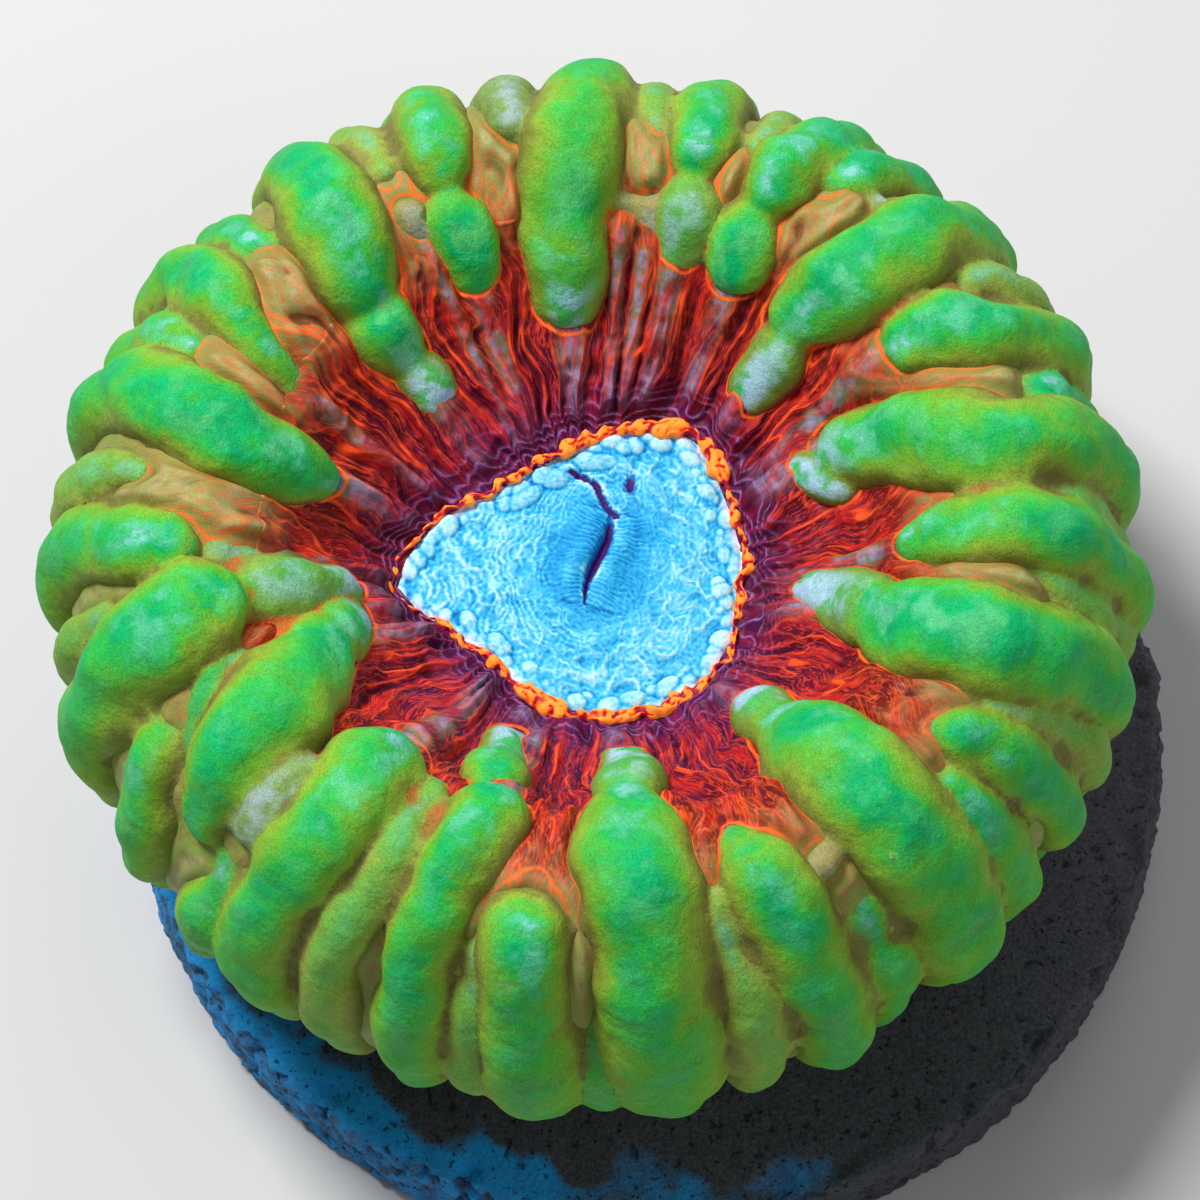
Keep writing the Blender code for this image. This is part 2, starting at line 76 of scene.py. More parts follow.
# Radius of the oral disc's rim by azimuth in degrees.
RIM = np.array([(-12, 10.0), (0, 10.4), (16, 10.3), (34, 10.7), (55, 12.5), (72, 11.4), (90, 9.6),
                (115, 8.5), (138, 8.7), (160, 11.0), (176, 13.0), (186, 14.4), (192, 13.4),
                (200, 10.9), (222, 9.4), (245, 10.3), (273, 11.1), (306, 11.5), (329, 11.0),
                (348, 10.0), (360, 10.4)])
RIM_PROFILE = 10.6      # where the inner slope's profile starts, whatever the rim's radius there
RIM_SETTLED = 24.0      # where the rim's outline no longer shows in the slope
RIM_HEIGHT = 27.9

# Lobes, anticlockwise seen from above. Each point of a path is the azimuth in degrees, the
# distance along the crest curve and the half width. The kind sets how the flesh is coloured.
Lobe = namedtuple("Lobe", "kind path")
LOBES = (
    Lobe("seam", ((1.5, 38, 1.0), (1.8, 43, 1.5), (2, 49, 1.7), (2.5, 56, 1.5))),
    Lobe("green", ((23, 18, 2.1), (16, 24, 3.5), (10, 29.5, 3.8), (7.5, 34.5, 3.6), (8.7, 39, 3.1),
                   (10, 46, 3.5), (10, 54, 3.5), (10, 61, 2.5))),
    Lobe("tail", ((26, 15.5, 1.2), (19, 17.5, 1.6), (10, 19.5, 1.0))),
    Lobe("green", ((16.5, 38, 1.4), (17, 42, 1.9), (17, 50, 2.0), (17, 58, 1.6))),
    Lobe("green", ((30, 26, 2.0), (27.5, 31.5, 2.9), (25, 37, 2.9), (24, 44, 2.9), (24.5, 53, 3.1),
                   (25, 61, 2.2))),
    Lobe("seam", ((33, 37, 1.2), (32, 44, 2.0), (32, 53, 2.2), (32, 60, 1.6))),
    Lobe("green", ((49, 21.5, 2.0), (44.5, 26, 3.4), (42, 31, 3.6), (41, 38, 3.4), (40.5, 46, 3.3),
                   (40, 54, 3.4), (40, 62, 2.3))),
    Lobe("tail", ((48, 14.5, 1.3), (46.5, 18.5, 2.3), (45, 23, 2.3))),
    Lobe("pearl", ((48.6, 35, 1.0), (48.2, 38.5, 1.3))),
    Lobe("green", ((55, 33, 1.4), (54, 38, 2.2), (51.5, 45, 2.6), (50, 54, 2.8), (50, 61, 2.0))),
    Lobe("green", ((62.5, 22, 1.6), (62.5, 26, 2.4), (62.3, 30, 2.0))),
    Lobe("green", ((62, 28.5, 2.1), (61.5, 33, 2.7), (60, 39, 2.7), (59, 46, 2.8), (59, 54, 2.9),
                   (59, 61, 1.9))),
    Lobe("seam", ((67, 34, 0.9), (66.5, 40, 1.3), (67, 50, 1.8), (67, 59, 1.6))),
    Lobe("tail", ((74, 22, 1.6), (74, 26.5, 2.3), (74, 30.5, 1.9))),
    Lobe("green", ((74, 29.5, 2.0), (74.2, 34, 2.6), (75, 40, 2.6), (75.5, 47, 2.9), (75, 55, 3.0),
                   (75, 61, 2.0))),
    Lobe("bean", ((80, 23, 0.9), (80.5, 28, 1.3))),
    Lobe("bean", ((85, 24.5, 0.8), (84.8, 28, 1.1))),
    Lobe("seam", ((80.5, 33, 0.9), (82, 38, 1.2), (82.5, 48, 1.8), (82.5, 58, 1.6))),
    Lobe("green", ((95.5, 17, 1.9), (95.3, 21, 3.1), (94.5, 26, 3.8), (93, 31, 3.8), (91.5, 36, 3.6),
                   (90.3, 42, 3.3), (90.3, 50, 3.2), (90.3, 57, 3.0), (90.3, 62, 2.2))),
    Lobe("pearl", ((102, 33, 1.1), (101.3, 37, 1.9), (100.6, 44, 2.2), (100.5, 53, 2.4),
                   (100.5, 60, 1.7))),
    Lobe("bean", ((106.3, 28, 0.9), (105.8, 31.5, 1.2))),
    Lobe("green", ((114, 21, 1.5), (113.5, 25.5, 2.4), (113, 30.5, 2.1))),
    Lobe("green", ((113, 29, 1.9), (112.5, 34, 2.8), (111.5, 39, 2.9), (110.3, 46, 3.0),
                   (110, 54, 3.1), (110, 61, 2.1))),
    Lobe("bean", ((120.3, 27, 0.9), (120, 30.5, 1.2))),
    Lobe("seam", ((120, 33, 1.0), (119.5, 38, 1.4), (118.5, 47, 2.0), (118.5, 57, 1.8))),
    Lobe("tail", ((133, 13.5, 1.2), (134, 17, 2.0), (134.8, 21, 2.2))),
    Lobe("green", ((134.8, 19, 2.0), (134.3, 22.5, 2.9), (133.5, 26.5, 2.8))),
    Lobe("green", ((133.8, 24, 2.7), (132.5, 29.5, 3.7), (130.5, 34.5, 3.6), (128, 40, 3.3),
                   (126.5, 47, 3.0), (126.5, 55, 3.0), (126.5, 62, 2.0))),
    Lobe("green", ((141, 34.5, 1.2), (139.8, 38, 1.8), (138, 45, 2.2), (136.5, 54, 2.6),
                   (136.5, 61, 1.8))),
    Lobe("green", ((155.5, 24, 1.1), (153.5, 29, 1.7), (151.3, 33.5, 2.5), (148.5, 38, 2.8),
                   (146, 44, 2.9), (146, 53, 3.0), (146, 61, 2.1))),
    Lobe("green", ((158, 34.5, 1.2), (156.3, 38, 1.8), (154.5, 45, 2.2), (154.5, 54, 2.4),
                   (154.5, 61, 1.7))),
    Lobe("green", ((166.5, 19, 1.6), (169.5, 24, 2.7), (170.5, 29, 3.4), (168.3, 33.5, 3.5),
                   (165, 38, 3.2), (162.8, 44, 3.0), (163, 53, 3.0), (163, 61, 2.2))),
    Lobe("seam", ((176.5, 36.5, 1.1), (175, 40, 1.6), (173, 46, 2.1), (172, 54, 2.4), (172, 60, 1.6))),
    Lobe("tail", ((186, 20, 0.9), (188.3, 28, 1.2), (188.3, 31, 1.4))),
    Lobe("green", ((188.5, 31.5, 1.6), (186.5, 36.5, 2.7), (183.5, 41.5, 3.0), (181.3, 47, 2.9),
                   (181, 54, 3.0), (181, 61, 2.1))),
    Lobe("seam", ((191.8, 42, 1.2), (191, 46.5, 1.6), (190.3, 52, 1.9), (190, 59, 1.5))),
    Lobe("tail", ((190, 16.5, 1.3), (192.3, 21, 2.1), (195.5, 26, 2.6), (197, 30, 2.6))),
    Lobe("green", ((196, 28, 2.6), (197.8, 33, 3.8), (199, 38.5, 4.2), (199.5, 44, 4.0),
                   (199.7, 50, 3.8), (200, 56, 3.4), (200, 62, 2.4))),
    Lobe("green", ((204.5, 29.5, 0.9), (207, 33, 1.3), (209.5, 37, 1.4), (212.5, 40.5, 1.4),
                   (216, 43.5, 1.2))),
    Lobe("green", ((208.5, 40, 1.6), (210.5, 44, 2.5), (212.5, 49, 2.8), (212.5, 55, 2.6),
                   (212, 61, 1.8))),
    Lobe("green", ((198, 17.5, 1.8), (202.5, 20, 2.6), (207, 23.5, 2.8))),
    Lobe("green", ((204.5, 20.5, 2.4), (210, 24.5, 3.5), (214.5, 28.5, 3.9), (217.5, 33, 3.7),
                   (218.7, 38, 3.4), (219, 42, 2.6), (219.5, 46.5, 2.0))),
    Lobe("green", ((224, 43.5, 1.3), (225.3, 47.5, 1.9), (224.5, 53, 2.6), (223, 60, 1.9))),
    Lobe("pearl", ((227.5, 31, 1.2), (226.8, 35, 1.9), (225.5, 39, 2.0), (225, 43, 1.4))),
    Lobe("green", ((233.8, 24.5, 2.4), (234.3, 28.5, 3.4), (234.3, 33, 3.5), (233.8, 38, 3.4),
                   (232.5, 43, 3.2), (231.5, 48.5, 3.1), (232.5, 55, 3.0), (233, 61, 2.1))),
    Lobe("tail", ((231, 15.5, 0.45), (232, 19, 0.45))),
    Lobe("seam", ((243, 25.5, 1.0), (243.3, 32, 1.5), (242.8, 38, 1.8), (240.8, 43, 2.1),
                  (240.5, 49, 2.3), (241.5, 56, 2.2), (242, 61, 1.6))),
    Lobe("green", ((247.8, 12.5, 1.5), (249, 16.5, 2.3), (250.5, 21, 2.3), (252, 25, 2.0))),
    Lobe("green", ((253.8, 24.5, 2.2), (253.2, 28.5, 3.0), (252, 33, 2.8), (250.7, 37, 2.4),
                   (250.2, 41.5, 2.6), (250, 47, 2.6), (250.5, 54, 2.7), (251, 61, 2.0))),
    Lobe("seam", ((256.5, 40, 0.9), (256.8, 47, 1.5), (257, 55, 1.8), (257.3, 61, 1.3))),
    Lobe("green", ((262.3, 34, 2.0), (262.3, 38.5, 3.2), (262.5, 44, 3.3), (263.3, 50, 3.6),
                   (264, 56.5, 3.8), (264.3, 62, 2.7))),
    Lobe("green", ((270.5, 44, 0.9), (270.7, 49, 1.5), (271, 55, 2.1), (271, 61, 1.6))),
    Lobe("tail", ((279, 12.5, 1.4), (278, 17, 2.2), (277, 21, 2.6), (276.5, 25, 2.6))),
    Lobe("green", ((276.3, 22.5, 3.0), (275.7, 27, 4.0), (275.8, 32, 4.2), (276.5, 38, 4.3),
                   (277, 45, 4.4), (277.7, 52, 4.4), (278.3, 58, 3.9), (278.3, 63, 2.6))),
    Lobe("seam", ((285.7, 36, 0.9), (286, 41, 1.3), (287.5, 46.5, 2.1), (288, 53, 2.4),
                  (288, 60, 1.8))),
    Lobe("green", ((290.8, 28.5, 1.0), (291.3, 34, 2.2), (293, 39.5, 3.1), (294.8, 45, 3.2),
                   (296.3, 51, 3.1), (297, 57, 2.9), (297, 62, 2.1))),
    Lobe("bean", ((299.8, 36, 1.2), (301.2, 38.8, 1.5))),
    Lobe("green", ((302, 41, 1.3), (302.8, 46, 1.8), (304, 52, 2.2), (304.5, 60, 1.7))),
    Lobe("tail", ((314.3, 12, 1.3), (313, 16, 2.1), (312, 20, 2.5), (311.5, 23.5, 2.4))),
    Lobe("green", ((311.5, 19.5, 2.7), (310.7, 24, 3.8), (309.7, 29, 4.3), (310, 34.5, 4.3),
                   (311.2, 40, 4.1), (312.2, 46, 4.1), (312.8, 53, 3.8), (313, 61, 2.5))),
    Lobe("green", ((306.2, 38, 1.0), (306.8, 43, 1.4), (308, 49, 1.4))),
    Lobe("green", ((319.3, 37.5, 1.4), (319.7, 42.5, 2.2), (321, 48, 2.5), (322, 55, 2.5),
                   (322.5, 61, 1.8))),
    Lobe("green", ((321.5, 32.5, 1.3), (325, 37, 2.1), (328, 42.5, 2.4), (330, 48, 2.5),
                   (331.5, 55, 2.4), (332, 61, 1.7))),
    Lobe("seam", ((330, 36.5, 0.9), (333.5, 41.5, 1.3), (336.5, 47.5, 1.8), (338.5, 54, 2.1),
                  (339.5, 60, 1.6))),
    Lobe("tail", ((352, 13, 1.4), (347.5, 17, 2.3), (342.5, 21.5, 2.9), (340, 25, 2.9))),
    Lobe("green", ((343, 22, 2.6), (338.3, 26, 3.8), (337, 31, 4.2), (338.3, 36, 4.1),
                   (340.5, 41, 3.7), (343.3, 46.5, 3.4), (345.5, 53, 3.1), (346.5, 60, 2.2))),
    Lobe("seam", ((350.3, 37, 0.9), (350, 42, 1.5), (350.3, 48, 1.9), (351.5, 55, 1.8))),
    Lobe("green", ((353.2, 23, 1.5), (354, 28, 2.5), (355, 33, 2.9), (355.7, 38.5, 3.2),
                   (356.3, 45, 3.1), (357, 53, 3.1), (357.3, 61, 2.2))),
)
LOBE_SINK = 0.75        # a lobe's axis lies at least this many half widths below the crest curve
LOBE_RISE = 0.35        # and no further than this many above the flesh between the lobes
WALL_START = 55         # a lobe that reaches the outer wall runs on down it as a thinner rib
RIB_END = (69, 1.3)
LOBE_SAMPLES = 48
BETWEEN = ("bean", "pearl", "seam")   # small lobes that stand out of the skin between large ones
LOBE_SHRINK = 0.12      # what smoothing takes off the lobes
LOBE_SIDES = 32

# How green, how pale and how tan each kind of lobe is.
KINDS = {"green": (1.0, 0.0, 0.0), "tail": (0.85, 0.5, 0.0), "pearl": (0.3, 1.0, 0.1),
         "bean": (0.1, 0.3, 0.9), "seam": (0.8, 0.0, 0.25)}

# The lobes and the flesh under the pleats are fused into one skin.
FUSE_SIZE = 0.36
FUSE_FACES = 196000     # most triangles that the fused skin may keep
UNDER_SKIN = 0.7        # how far the fused flesh lies under the pleated skin
UNDER_MOUTH = 2.6       # and under the oral disc
UNDER_GRID = (144, 96)  # segments and rings of the flesh before it is fused
FOOT_SHARE = 0.94       # share of the way down at which the fused flesh turns in under the foot

# Pleated skin between the lobes, in two rings: the inner slope and the crown with the wall.
SLOPE_END = 26.2        # distance along the crest curve where the two rings meet
SLOPE_LAP = 0.4         # and how far each runs past it
PLEAT_END = 67.0        # where the pleats stop
FLOW_RADIUS = 16.0      # pleats are counted as if all lay at this radius
FLOW_STRETCH = 9.0      # how many times longer than wide they run
BACK_ROWS = 3           # rows that close a ring behind the skin
BACK_DEPTH = 0.9        # and how deep under it they lie
LEAST_SLOPE = 0.2       # a line's distance is never reckoned from a value that runs flatter

# Columns and rows of the wrapped grids, and the rim's segments and sides.
SLOPE_COLUMNS = 820
CROWN_COLUMNS = 990
CROWN_ROWS = 94
ORAL_GRID = (700, 130)
ORAL_TOP = 0.95         # share of the oral disc's rows that its upper face takes
ORAL_LAP = 0.30         # how far it runs under the orange rim
ORAL_DEPTH = 1.4
RIM_GRID = (1100, 28)
DISC_GRID = (620, 124)


def smooth_path(points, count):
    """Smooth curve through the points, as so many samples."""
    points = np.asarray(points, float)
    ends = np.vstack([2 * points[0] - points[1], points, 2 * points[-1] - points[-2]])
    spans = len(points) - 1
    place = np.linspace(0, spans, count)
    span = np.minimum(place.astype(int), spans - 1)
    t = (place - span)[:, None]
    a, b, c, d = (ends[span + k] for k in range(4))
    return 0.5 * (2 * b + (c - a) * t + (2 * a - 5 * b + 4 * c - d) * t ** 2
                  + (3 * b - a - 3 * c + d) * t ** 3)


def ease(low, high, value):
    """0 below low, 1 above high, smooth between."""
    t = np.clip((value - low) / (high - low), 0, 1)
    return t * t * (3 - 2 * t)


RNG = np.random.default_rng(11)
GRADIENTS = RNG.normal(size=(256, 3))
GRADIENTS /= np.linalg.norm(GRADIENTS, axis=1)[:, None]
LATTICE = RNG.permutation(256)


def noise(points, size, shift=0.0):
    """Smooth noise, about -1 to 1, with lumps of a size in millimetres."""
    place = np.asarray(points) / size + shift
    cell = np.floor(place).astype(int)
    part = place - cell
    fade = part ** 3 * (part * (part * 6 - 15) + 10)
    total = np.zeros(len(place))
    for corner in itertools.product((0, 1), repeat=3):
        at = (cell + corner) & 255
        pick = LATTICE[(LATTICE[(LATTICE[at[:, 0]] + at[:, 1]) & 255] + at[:, 2]) & 255]
        weight = np.prod(np.where(np.array(corner) == 1, fade, 1 - fade), axis=1)
        total += weight * np.einsum("ij,ij->i", GRADIENTS[pick], part - corner)
    return total * 1.6


def wave(count):
    """1 half way between the whole numbers of a running count, 0 on them."""
    return 1 - np.abs(2 * np.mod(count, 1) - 1)


def ridges(value):
    """A noise folded so that its zero lines stand up."""
    return 0.5 - 1.5 * np.abs(value)


# The crest curve as arrays: distance along it, radius, height and outward normal.
CREST_LINE = smooth_path(CREST, 800)
CREST_RUN = np.r_[0, np.cumsum(np.linalg.norm(np.diff(CREST_LINE, axis=0), axis=1))]
CREST_SLOPE = np.gradient(CREST_LINE, CREST_RUN, axis=0)
CREST_NORMAL = np.stack([-CREST_SLOPE[:, 1], CREST_SLOPE[:, 0]], 1)
CREST_NORMAL /= np.linalg.norm(CREST_NORMAL, axis=1)[:, None]
CREST_LENGTH = CREST_RUN[-1]


def crest_at(distance):
    """Radius, height, and the outward normal's two parts at distances along the crest curve."""
    columns = (CREST_LINE[:, 0], CREST_LINE[:, 1], CREST_NORMAL[:, 0], CREST_NORMAL[:, 1])
    return [np.interp(distance, CREST_RUN, column) for column in columns]


def dome_point(azimuth, distance, depth):
    """Points at azimuths in degrees and distances along the crest curve, and their normals."""
    radius, height, out, up = crest_at(distance)
    radius = radius - depth * out
    height = height - depth * up
    angle = np.radians(azimuth)
    points = np.stack([radius * np.cos(angle), radius * np.sin(angle), height], -1)
    normals = np.stack([out * np.cos(angle), out * np.sin(angle), up], -1)
    return points, normals


def rim_radius(azimuth):
    """Radius of the oral disc's rim at azimuths in degrees."""
    return np.interp(np.mod(azimuth, 360), RIM[:, 0], RIM[:, 1])


def soft_rim_radius(azimuth):
    """The rim's radius with its corners rounded off."""
    offsets = np.linspace(-12, 12, 9)
    return np.mean([rim_radius(azimuth + offset) for offset in offsets], axis=0)


def edge_radius(azimuth):
    """Radius at which the oral disc, its orange rim and the inner slope meet."""
    return (rim_radius(azimuth) + soft_rim_radius(azimuth)) / 2


def valley_point(azimuth, distance, sink=0.0):
    """Points of the flesh between the lobes, and their normals. The inner slope starts at the rim."""
    rim = soft_rim_radius(azimuth)
    share = np.clip((distance - rim) / (RIM_SETTLED - rim), 0, 1)
    warped = np.where(distance < rim, distance / rim * RIM_PROFILE,
                      RIM_PROFILE + share * (RIM_SETTLED - RIM_PROFILE))
    warped = np.where(distance > RIM_SETTLED, distance, warped)
    depth = np.interp(warped, VALLEY[:, 0], VALLEY[:, 1]) + sink
    true_radius = crest_at(distance)[0]
    points, normals = dome_point(azimuth, warped, depth)
    warped_radius = crest_at(warped)[0]
    angle = np.radians(azimuth)
    shift = true_radius - warped_radius
    points[..., 0] += shift * np.cos(angle)
    points[..., 1] += shift * np.sin(angle)
    return points, normals


def lobe_frame(lobe):
    """Samples along a lobe: centres, radii with rounded ends, outward normals, side directions."""
    path = lobe.path
    if path[-1][1] > WALL_START:
        path = path + ((path[-1][0], *RIB_END),)
    azimuth, distance, width = smooth_path(path, LOBE_SAMPLES).T
    valley = np.interp(distance, LOBE_VALLEY[:, 0], LOBE_VALLEY[:, 1])
    if lobe.kind in BETWEEN:
        valley = (valley + np.interp(distance, VALLEY[:, 0], VALLEY[:, 1])) / 2
    depth = np.maximum(width * LOBE_SINK, valley - width * LOBE_RISE)
    centres, normals = dome_point(azimuth, distance, depth)
    run = np.r_[0, np.cumsum(np.linalg.norm(np.diff(centres, axis=0), axis=1))]
    even = np.linspace(0, run[-1], LOBE_SAMPLES)
    centres = np.stack([np.interp(even, run, centres[:, k]) for k in range(3)], 1)
    normals = np.stack([np.interp(even, run, normals[:, k]) for k in range(3)], 1)
    width = np.interp(even, run, width)
    tangents = np.gradient(centres, even, axis=0)
    tangents /= np.linalg.norm(tangents, axis=1)[:, None]
    sides = np.cross(tangents, normals)
    sides /= np.linalg.norm(sides, axis=1)[:, None]
    normals = np.cross(sides, tangents)
    tip = np.clip(np.minimum(even, even[-1] - even) / width, 0, 1)
    radii = width * np.sqrt(1 - (1 - tip) ** 2)
    return centres, radii, normals, sides, even / even[-1]


FRAMES = [lobe_frame(lobe) for lobe in LOBES]


def lobe_fields(points, margin=4.0):
    """Each point's nearest lobe, gap to it and to the next one, nearness to its crest, place along."""
    count = len(points)
    first = np.full(count, margin)
    second = np.full(count, margin)
    which = np.full(count, -1)
    crest = np.zeros(count)
    along = np.zeros(count)
    for index, (centres, radii, normals, _, place) in enumerate(FRAMES):
        reach = radii.max() + margin
        low, high = centres.min(0) - reach, centres.max(0) + reach
        near = np.flatnonzero(np.all((points > low) & (points < high), axis=1))
        if not len(near):
            continue
        offset = points[near][:, None, :] - centres[None]
        gaps = np.linalg.norm(offset, axis=2) - radii
        pick = gaps.argmin(1)
        rows = np.arange(len(near))
        gap = gaps[rows, pick]
        spoke = offset[rows, pick]
        height = np.einsum("ij,ij->i", spoke, normals[pick]) / (np.linalg.norm(spoke, axis=1) + 1e-6)
        closer = gap < first[near]
        second[near] = np.where(closer, np.minimum(second[near], first[near]),
                                np.minimum(second[near], gap))
        chosen = near[closer]
        first[chosen] = gap[closer]
        which[chosen] = index
        crest[chosen] = height[closer]
        along[chosen] = place[pick[closer]]
    return which, first, second, crest, along


def to_world(points):
    """Millimetres from the polyp's axis to metres in the frame."""
    return (points + AXIS) * MM


def deselect():
    """Leave nothing selected."""
    for obj in bpy.context.selected_objects:
        obj.select_set(False)


def named(name):
    """The object that an operator has just added, under its own name."""
    obj = bpy.context.object
    obj.name = name
    obj.data.name = name
    return obj


def get_points(obj):
    """The vertices' places, one row each."""
    values = np.empty(len(obj.data.vertices) * 3, np.float32)
    obj.data.vertices.foreach_get("co", values)
    return values.reshape(-1, 3).astype(float)


def set_points(obj, points):
    """Move the vertices to new places."""
    obj.data.vertices.foreach_set("co", np.ascontiguousarray(points, np.float32).ravel())
    obj.data.update()


def get_normals(obj):
    """The vertices' normals, one row each."""
    values = np.empty(len(obj.data.vertices) * 3, np.float32)
    obj.data.vertex_normals.foreach_get("vector", values)
    return values.reshape(-1, 3).astype(float)


def set_value(obj, name, values):
    """Keep one number per vertex, for the material to read."""
    layer = obj.data.attributes.new(name, "FLOAT", "POINT")
    layer.data.foreach_set("value", np.ascontiguousarray(values, np.float32))


def hollows(obj, points, normals, rounds):
    """How far the surface round each vertex stands above it once smoothed: positive in creases."""
    pairs = np.empty(len(obj.data.edges) * 2, np.int32)
    obj.data.edges.foreach_get("vertices", pairs)
    one, other = pairs.reshape(-1, 2).T
    count = len(points)
    shares = np.bincount(one, minlength=count) + np.bincount(other, minlength=count)
    smooth = points.copy()
    for _ in range(rounds):
        for axis in range(3):
            total = np.bincount(one, smooth[other, axis], count)
            total += np.bincount(other, smooth[one, axis], count)
            smooth[:, axis] = total / np.maximum(shares, 1)
    return ((smooth - points) * normals).sum(1)


def apply_modifier(obj, kind, **settings):
    """Add a modifier with its settings and apply it."""
    deselect()
    bpy.context.view_layer.objects.active = obj
    obj.select_set(True)
    modifier = obj.modifiers.new(kind.lower(), kind)
    for key, value in settings.items():
        setattr(modifier, key, value)
    bpy.ops.object.modifier_apply(modifier=modifier.name)


def close_and_face_out(obj, weld=1e-6):
    """Merge a shell's seam and poles and turn its faces outwards."""
    deselect()
    bpy.context.view_layer.objects.active = obj
    obj.select_set(True)
    bpy.ops.object.mode_set(mode="EDIT")
    bpy.ops.mesh.select_all(action="SELECT")
    bpy.ops.mesh.remove_doubles(threshold=weld)
    bpy.ops.mesh.normals_make_consistent(inside=False)
    bpy.ops.object.mode_set(mode="OBJECT")
    bpy.ops.object.shade_smooth()


def ball(name, segments, rings):
    """A unit ball to be shaped, with each vertex's polar share and azimuth."""
    deselect()
    bpy.ops.mesh.primitive_uv_sphere_add(segments=segments, ring_count=rings, radius=1)
    obj = named(name)
    points = get_points(obj)
    polar = np.arccos(np.clip(points[:, 2], -1, 1)) / math.pi
    azimuth = np.degrees(np.arctan2(points[:, 1], points[:, 0])) % 360
    return obj, polar, azimuth


def wrapped_grid(name, columns, rows):
    """A flat grid to be wrapped round the upright axis: each vertex's share of the rows, azimuth."""
    deselect()
    bpy.ops.mesh.primitive_grid_add(x_subdivisions=columns, y_subdivisions=rows, size=2)
    obj = named(name)
    flat = get_points(obj)
    return obj, (flat[:, 1] + 1) / 2, (flat[:, 0] + 1) * 180


def swelling(points):
    """How far the lobes bulge beyond their plain tubes, uneven as they grew."""
    bulge = 0.60 * noise(points, 5.0) + 0.24 * noise(points, 2.6, 7) + 0.03 * noise(points, 1.0, 3)
    azimuth = np.degrees(np.arctan2(points[:, 1], points[:, 0]))
    past = np.hypot(points[:, 0], points[:, 1]) - soft_rim_radius(azimuth)
    return bulge * ease(9.0, 13.0, points[:, 2]) - 0.9 * ease(4.5, 1.5, past)


def line_distance(value, points, columns):
    """Distance along the skin to a value's zero line, from how steeply the value runs there."""
    grid = value.reshape(-1, columns + 1)
    place = points.reshape(-1, columns + 1, 3)
    steep = np.zeros(grid.shape)
    for axis in (0, 1):
        run = np.linalg.norm(np.gradient(place, axis=axis), axis=2) + 1e-6
        steep += (np.gradient(grid, axis=axis) / run) ** 2
    return (grid / np.maximum(np.sqrt(steep), LEAST_SLOPE)).ravel()


def make_lobe(lobe_index):
    """One lobe as a closed shell: a ball drawn out along the lobe's path."""
    centres, radii, normals, sides, place = FRAMES[lobe_index]
    obj, polar, azimuth = ball("lobe", LOBE_SIDES, LOBE_SAMPLES)
    columns = np.hstack([centres, radii[:, None], normals, sides])
    rows = np.stack([np.interp(1 - polar, place, column) for column in columns.T], 1)
    angle = np.radians(azimuth)[:, None]
    spoke = np.cos(angle) * rows[:, 7:10] + np.sin(angle) * rows[:, 4:7]
    set_points(obj, to_world(rows[:, 0:3] + spoke * rows[:, 3:4]))
    return obj


def make_under_flesh():
    """The flesh under the pleated skin, from the oral disc to the foot."""
    obj, polar, azimuth = ball("under_flesh", *UNDER_GRID)
    distance = np.clip(polar / FOOT_SHARE, 0, 1) * CREST_LENGTH
    sink = UNDER_SKIN + (UNDER_MOUTH - UNDER_SKIN) * ease(14, 8, distance)
    points, _ = valley_point(azimuth, distance, sink)
    below = polar > FOOT_SHARE
    share = (1 - polar[below]) / (1 - FOOT_SHARE)
    points[below, 0:2] *= share[:, None]
    points[:, 2] = np.maximum(points[:, 2], FOOT_HEIGHT)
    points[below, 2] = FOOT_HEIGHT
    set_points(obj, to_world(points))
    return obj


def make_lobes():
    """All the lobes and the flesh under the skin, fused into one closed skin."""
    shells = [make_under_flesh()] + [make_lobe(index) for index in range(len(LOBES))]
    deselect()
    for shell in shells:
        shell.select_set(True)
    bpy.context.view_layer.objects.active = shells[0]
    bpy.ops.object.join()
    obj = named("lobes")
    apply_modifier(obj, "REMESH", mode="VOXEL", voxel_size=FUSE_SIZE * MM)
    apply_modifier(obj, "SMOOTH", factor=0.5, iterations=5)
    obj.data.calc_loop_triangles()
    faces = len(obj.data.loop_triangles)
    if faces > FUSE_FACES:
        apply_modifier(obj, "DECIMATE", ratio=FUSE_FACES / faces)
    points = get_points(obj) / MM - AXIS
    points += get_normals(obj) * swelling(points)[:, None]
    points[:, 2] = np.maximum(points[:, 2], FOOT_HEIGHT)
    set_points(obj, to_world(points))
    bpy.ops.object.shade_smooth()
    colour_lobes(obj, points, get_normals(obj))
    return obj


def height_over_valley(points):
    """How far points stand out from the flesh between the lobes."""
    table = np.linspace(0, CREST_LENGTH, 300)
    radius, height, out, up = crest_at(table)
    depth = np.interp(table, VALLEY[:, 0], VALLEY[:, 1])
    radius, height = radius - depth * out, height - depth * up
    mine = np.hypot(points[:, 0], points[:, 1])
    gaps = np.hypot(mine[:, None] - radius[None], points[:, 2:3] - height[None])
    pick = gaps.argmin(1)
    rise = (mine - radius[pick]) * out[pick] + (points[:, 2] - height[pick]) * up[pick]
    return rise, table[pick]


def colour_lobes(obj, points, normals):
    """Keep on each vertex what the lobes' material is mixed from."""
    which, _, _, crest, along = lobe_fields(points)
    rise, distance = height_over_valley(points)
    tints = np.array([KINDS[lobe.kind] for lobe in LOBES] + [KINDS["seam"]])
    tone = RNG.random(len(LOBES) + 1)
    set_value(obj, "core", crest)
    set_value(obj, "along", along)
    set_value(obj, "crease", hollows(obj, points, normals, 5))
    set_value(obj, "cavity", hollows(obj, points, normals, 30))
    set_value(obj, "rise", rise)
    set_value(obj, "reach", distance)
    set_value(obj, "green", tints[which, 0])
    set_value(obj, "pale", tints[which, 1])
    set_value(obj, "tan", tints[which, 2])
    set_value(obj, "tone", tone[which])


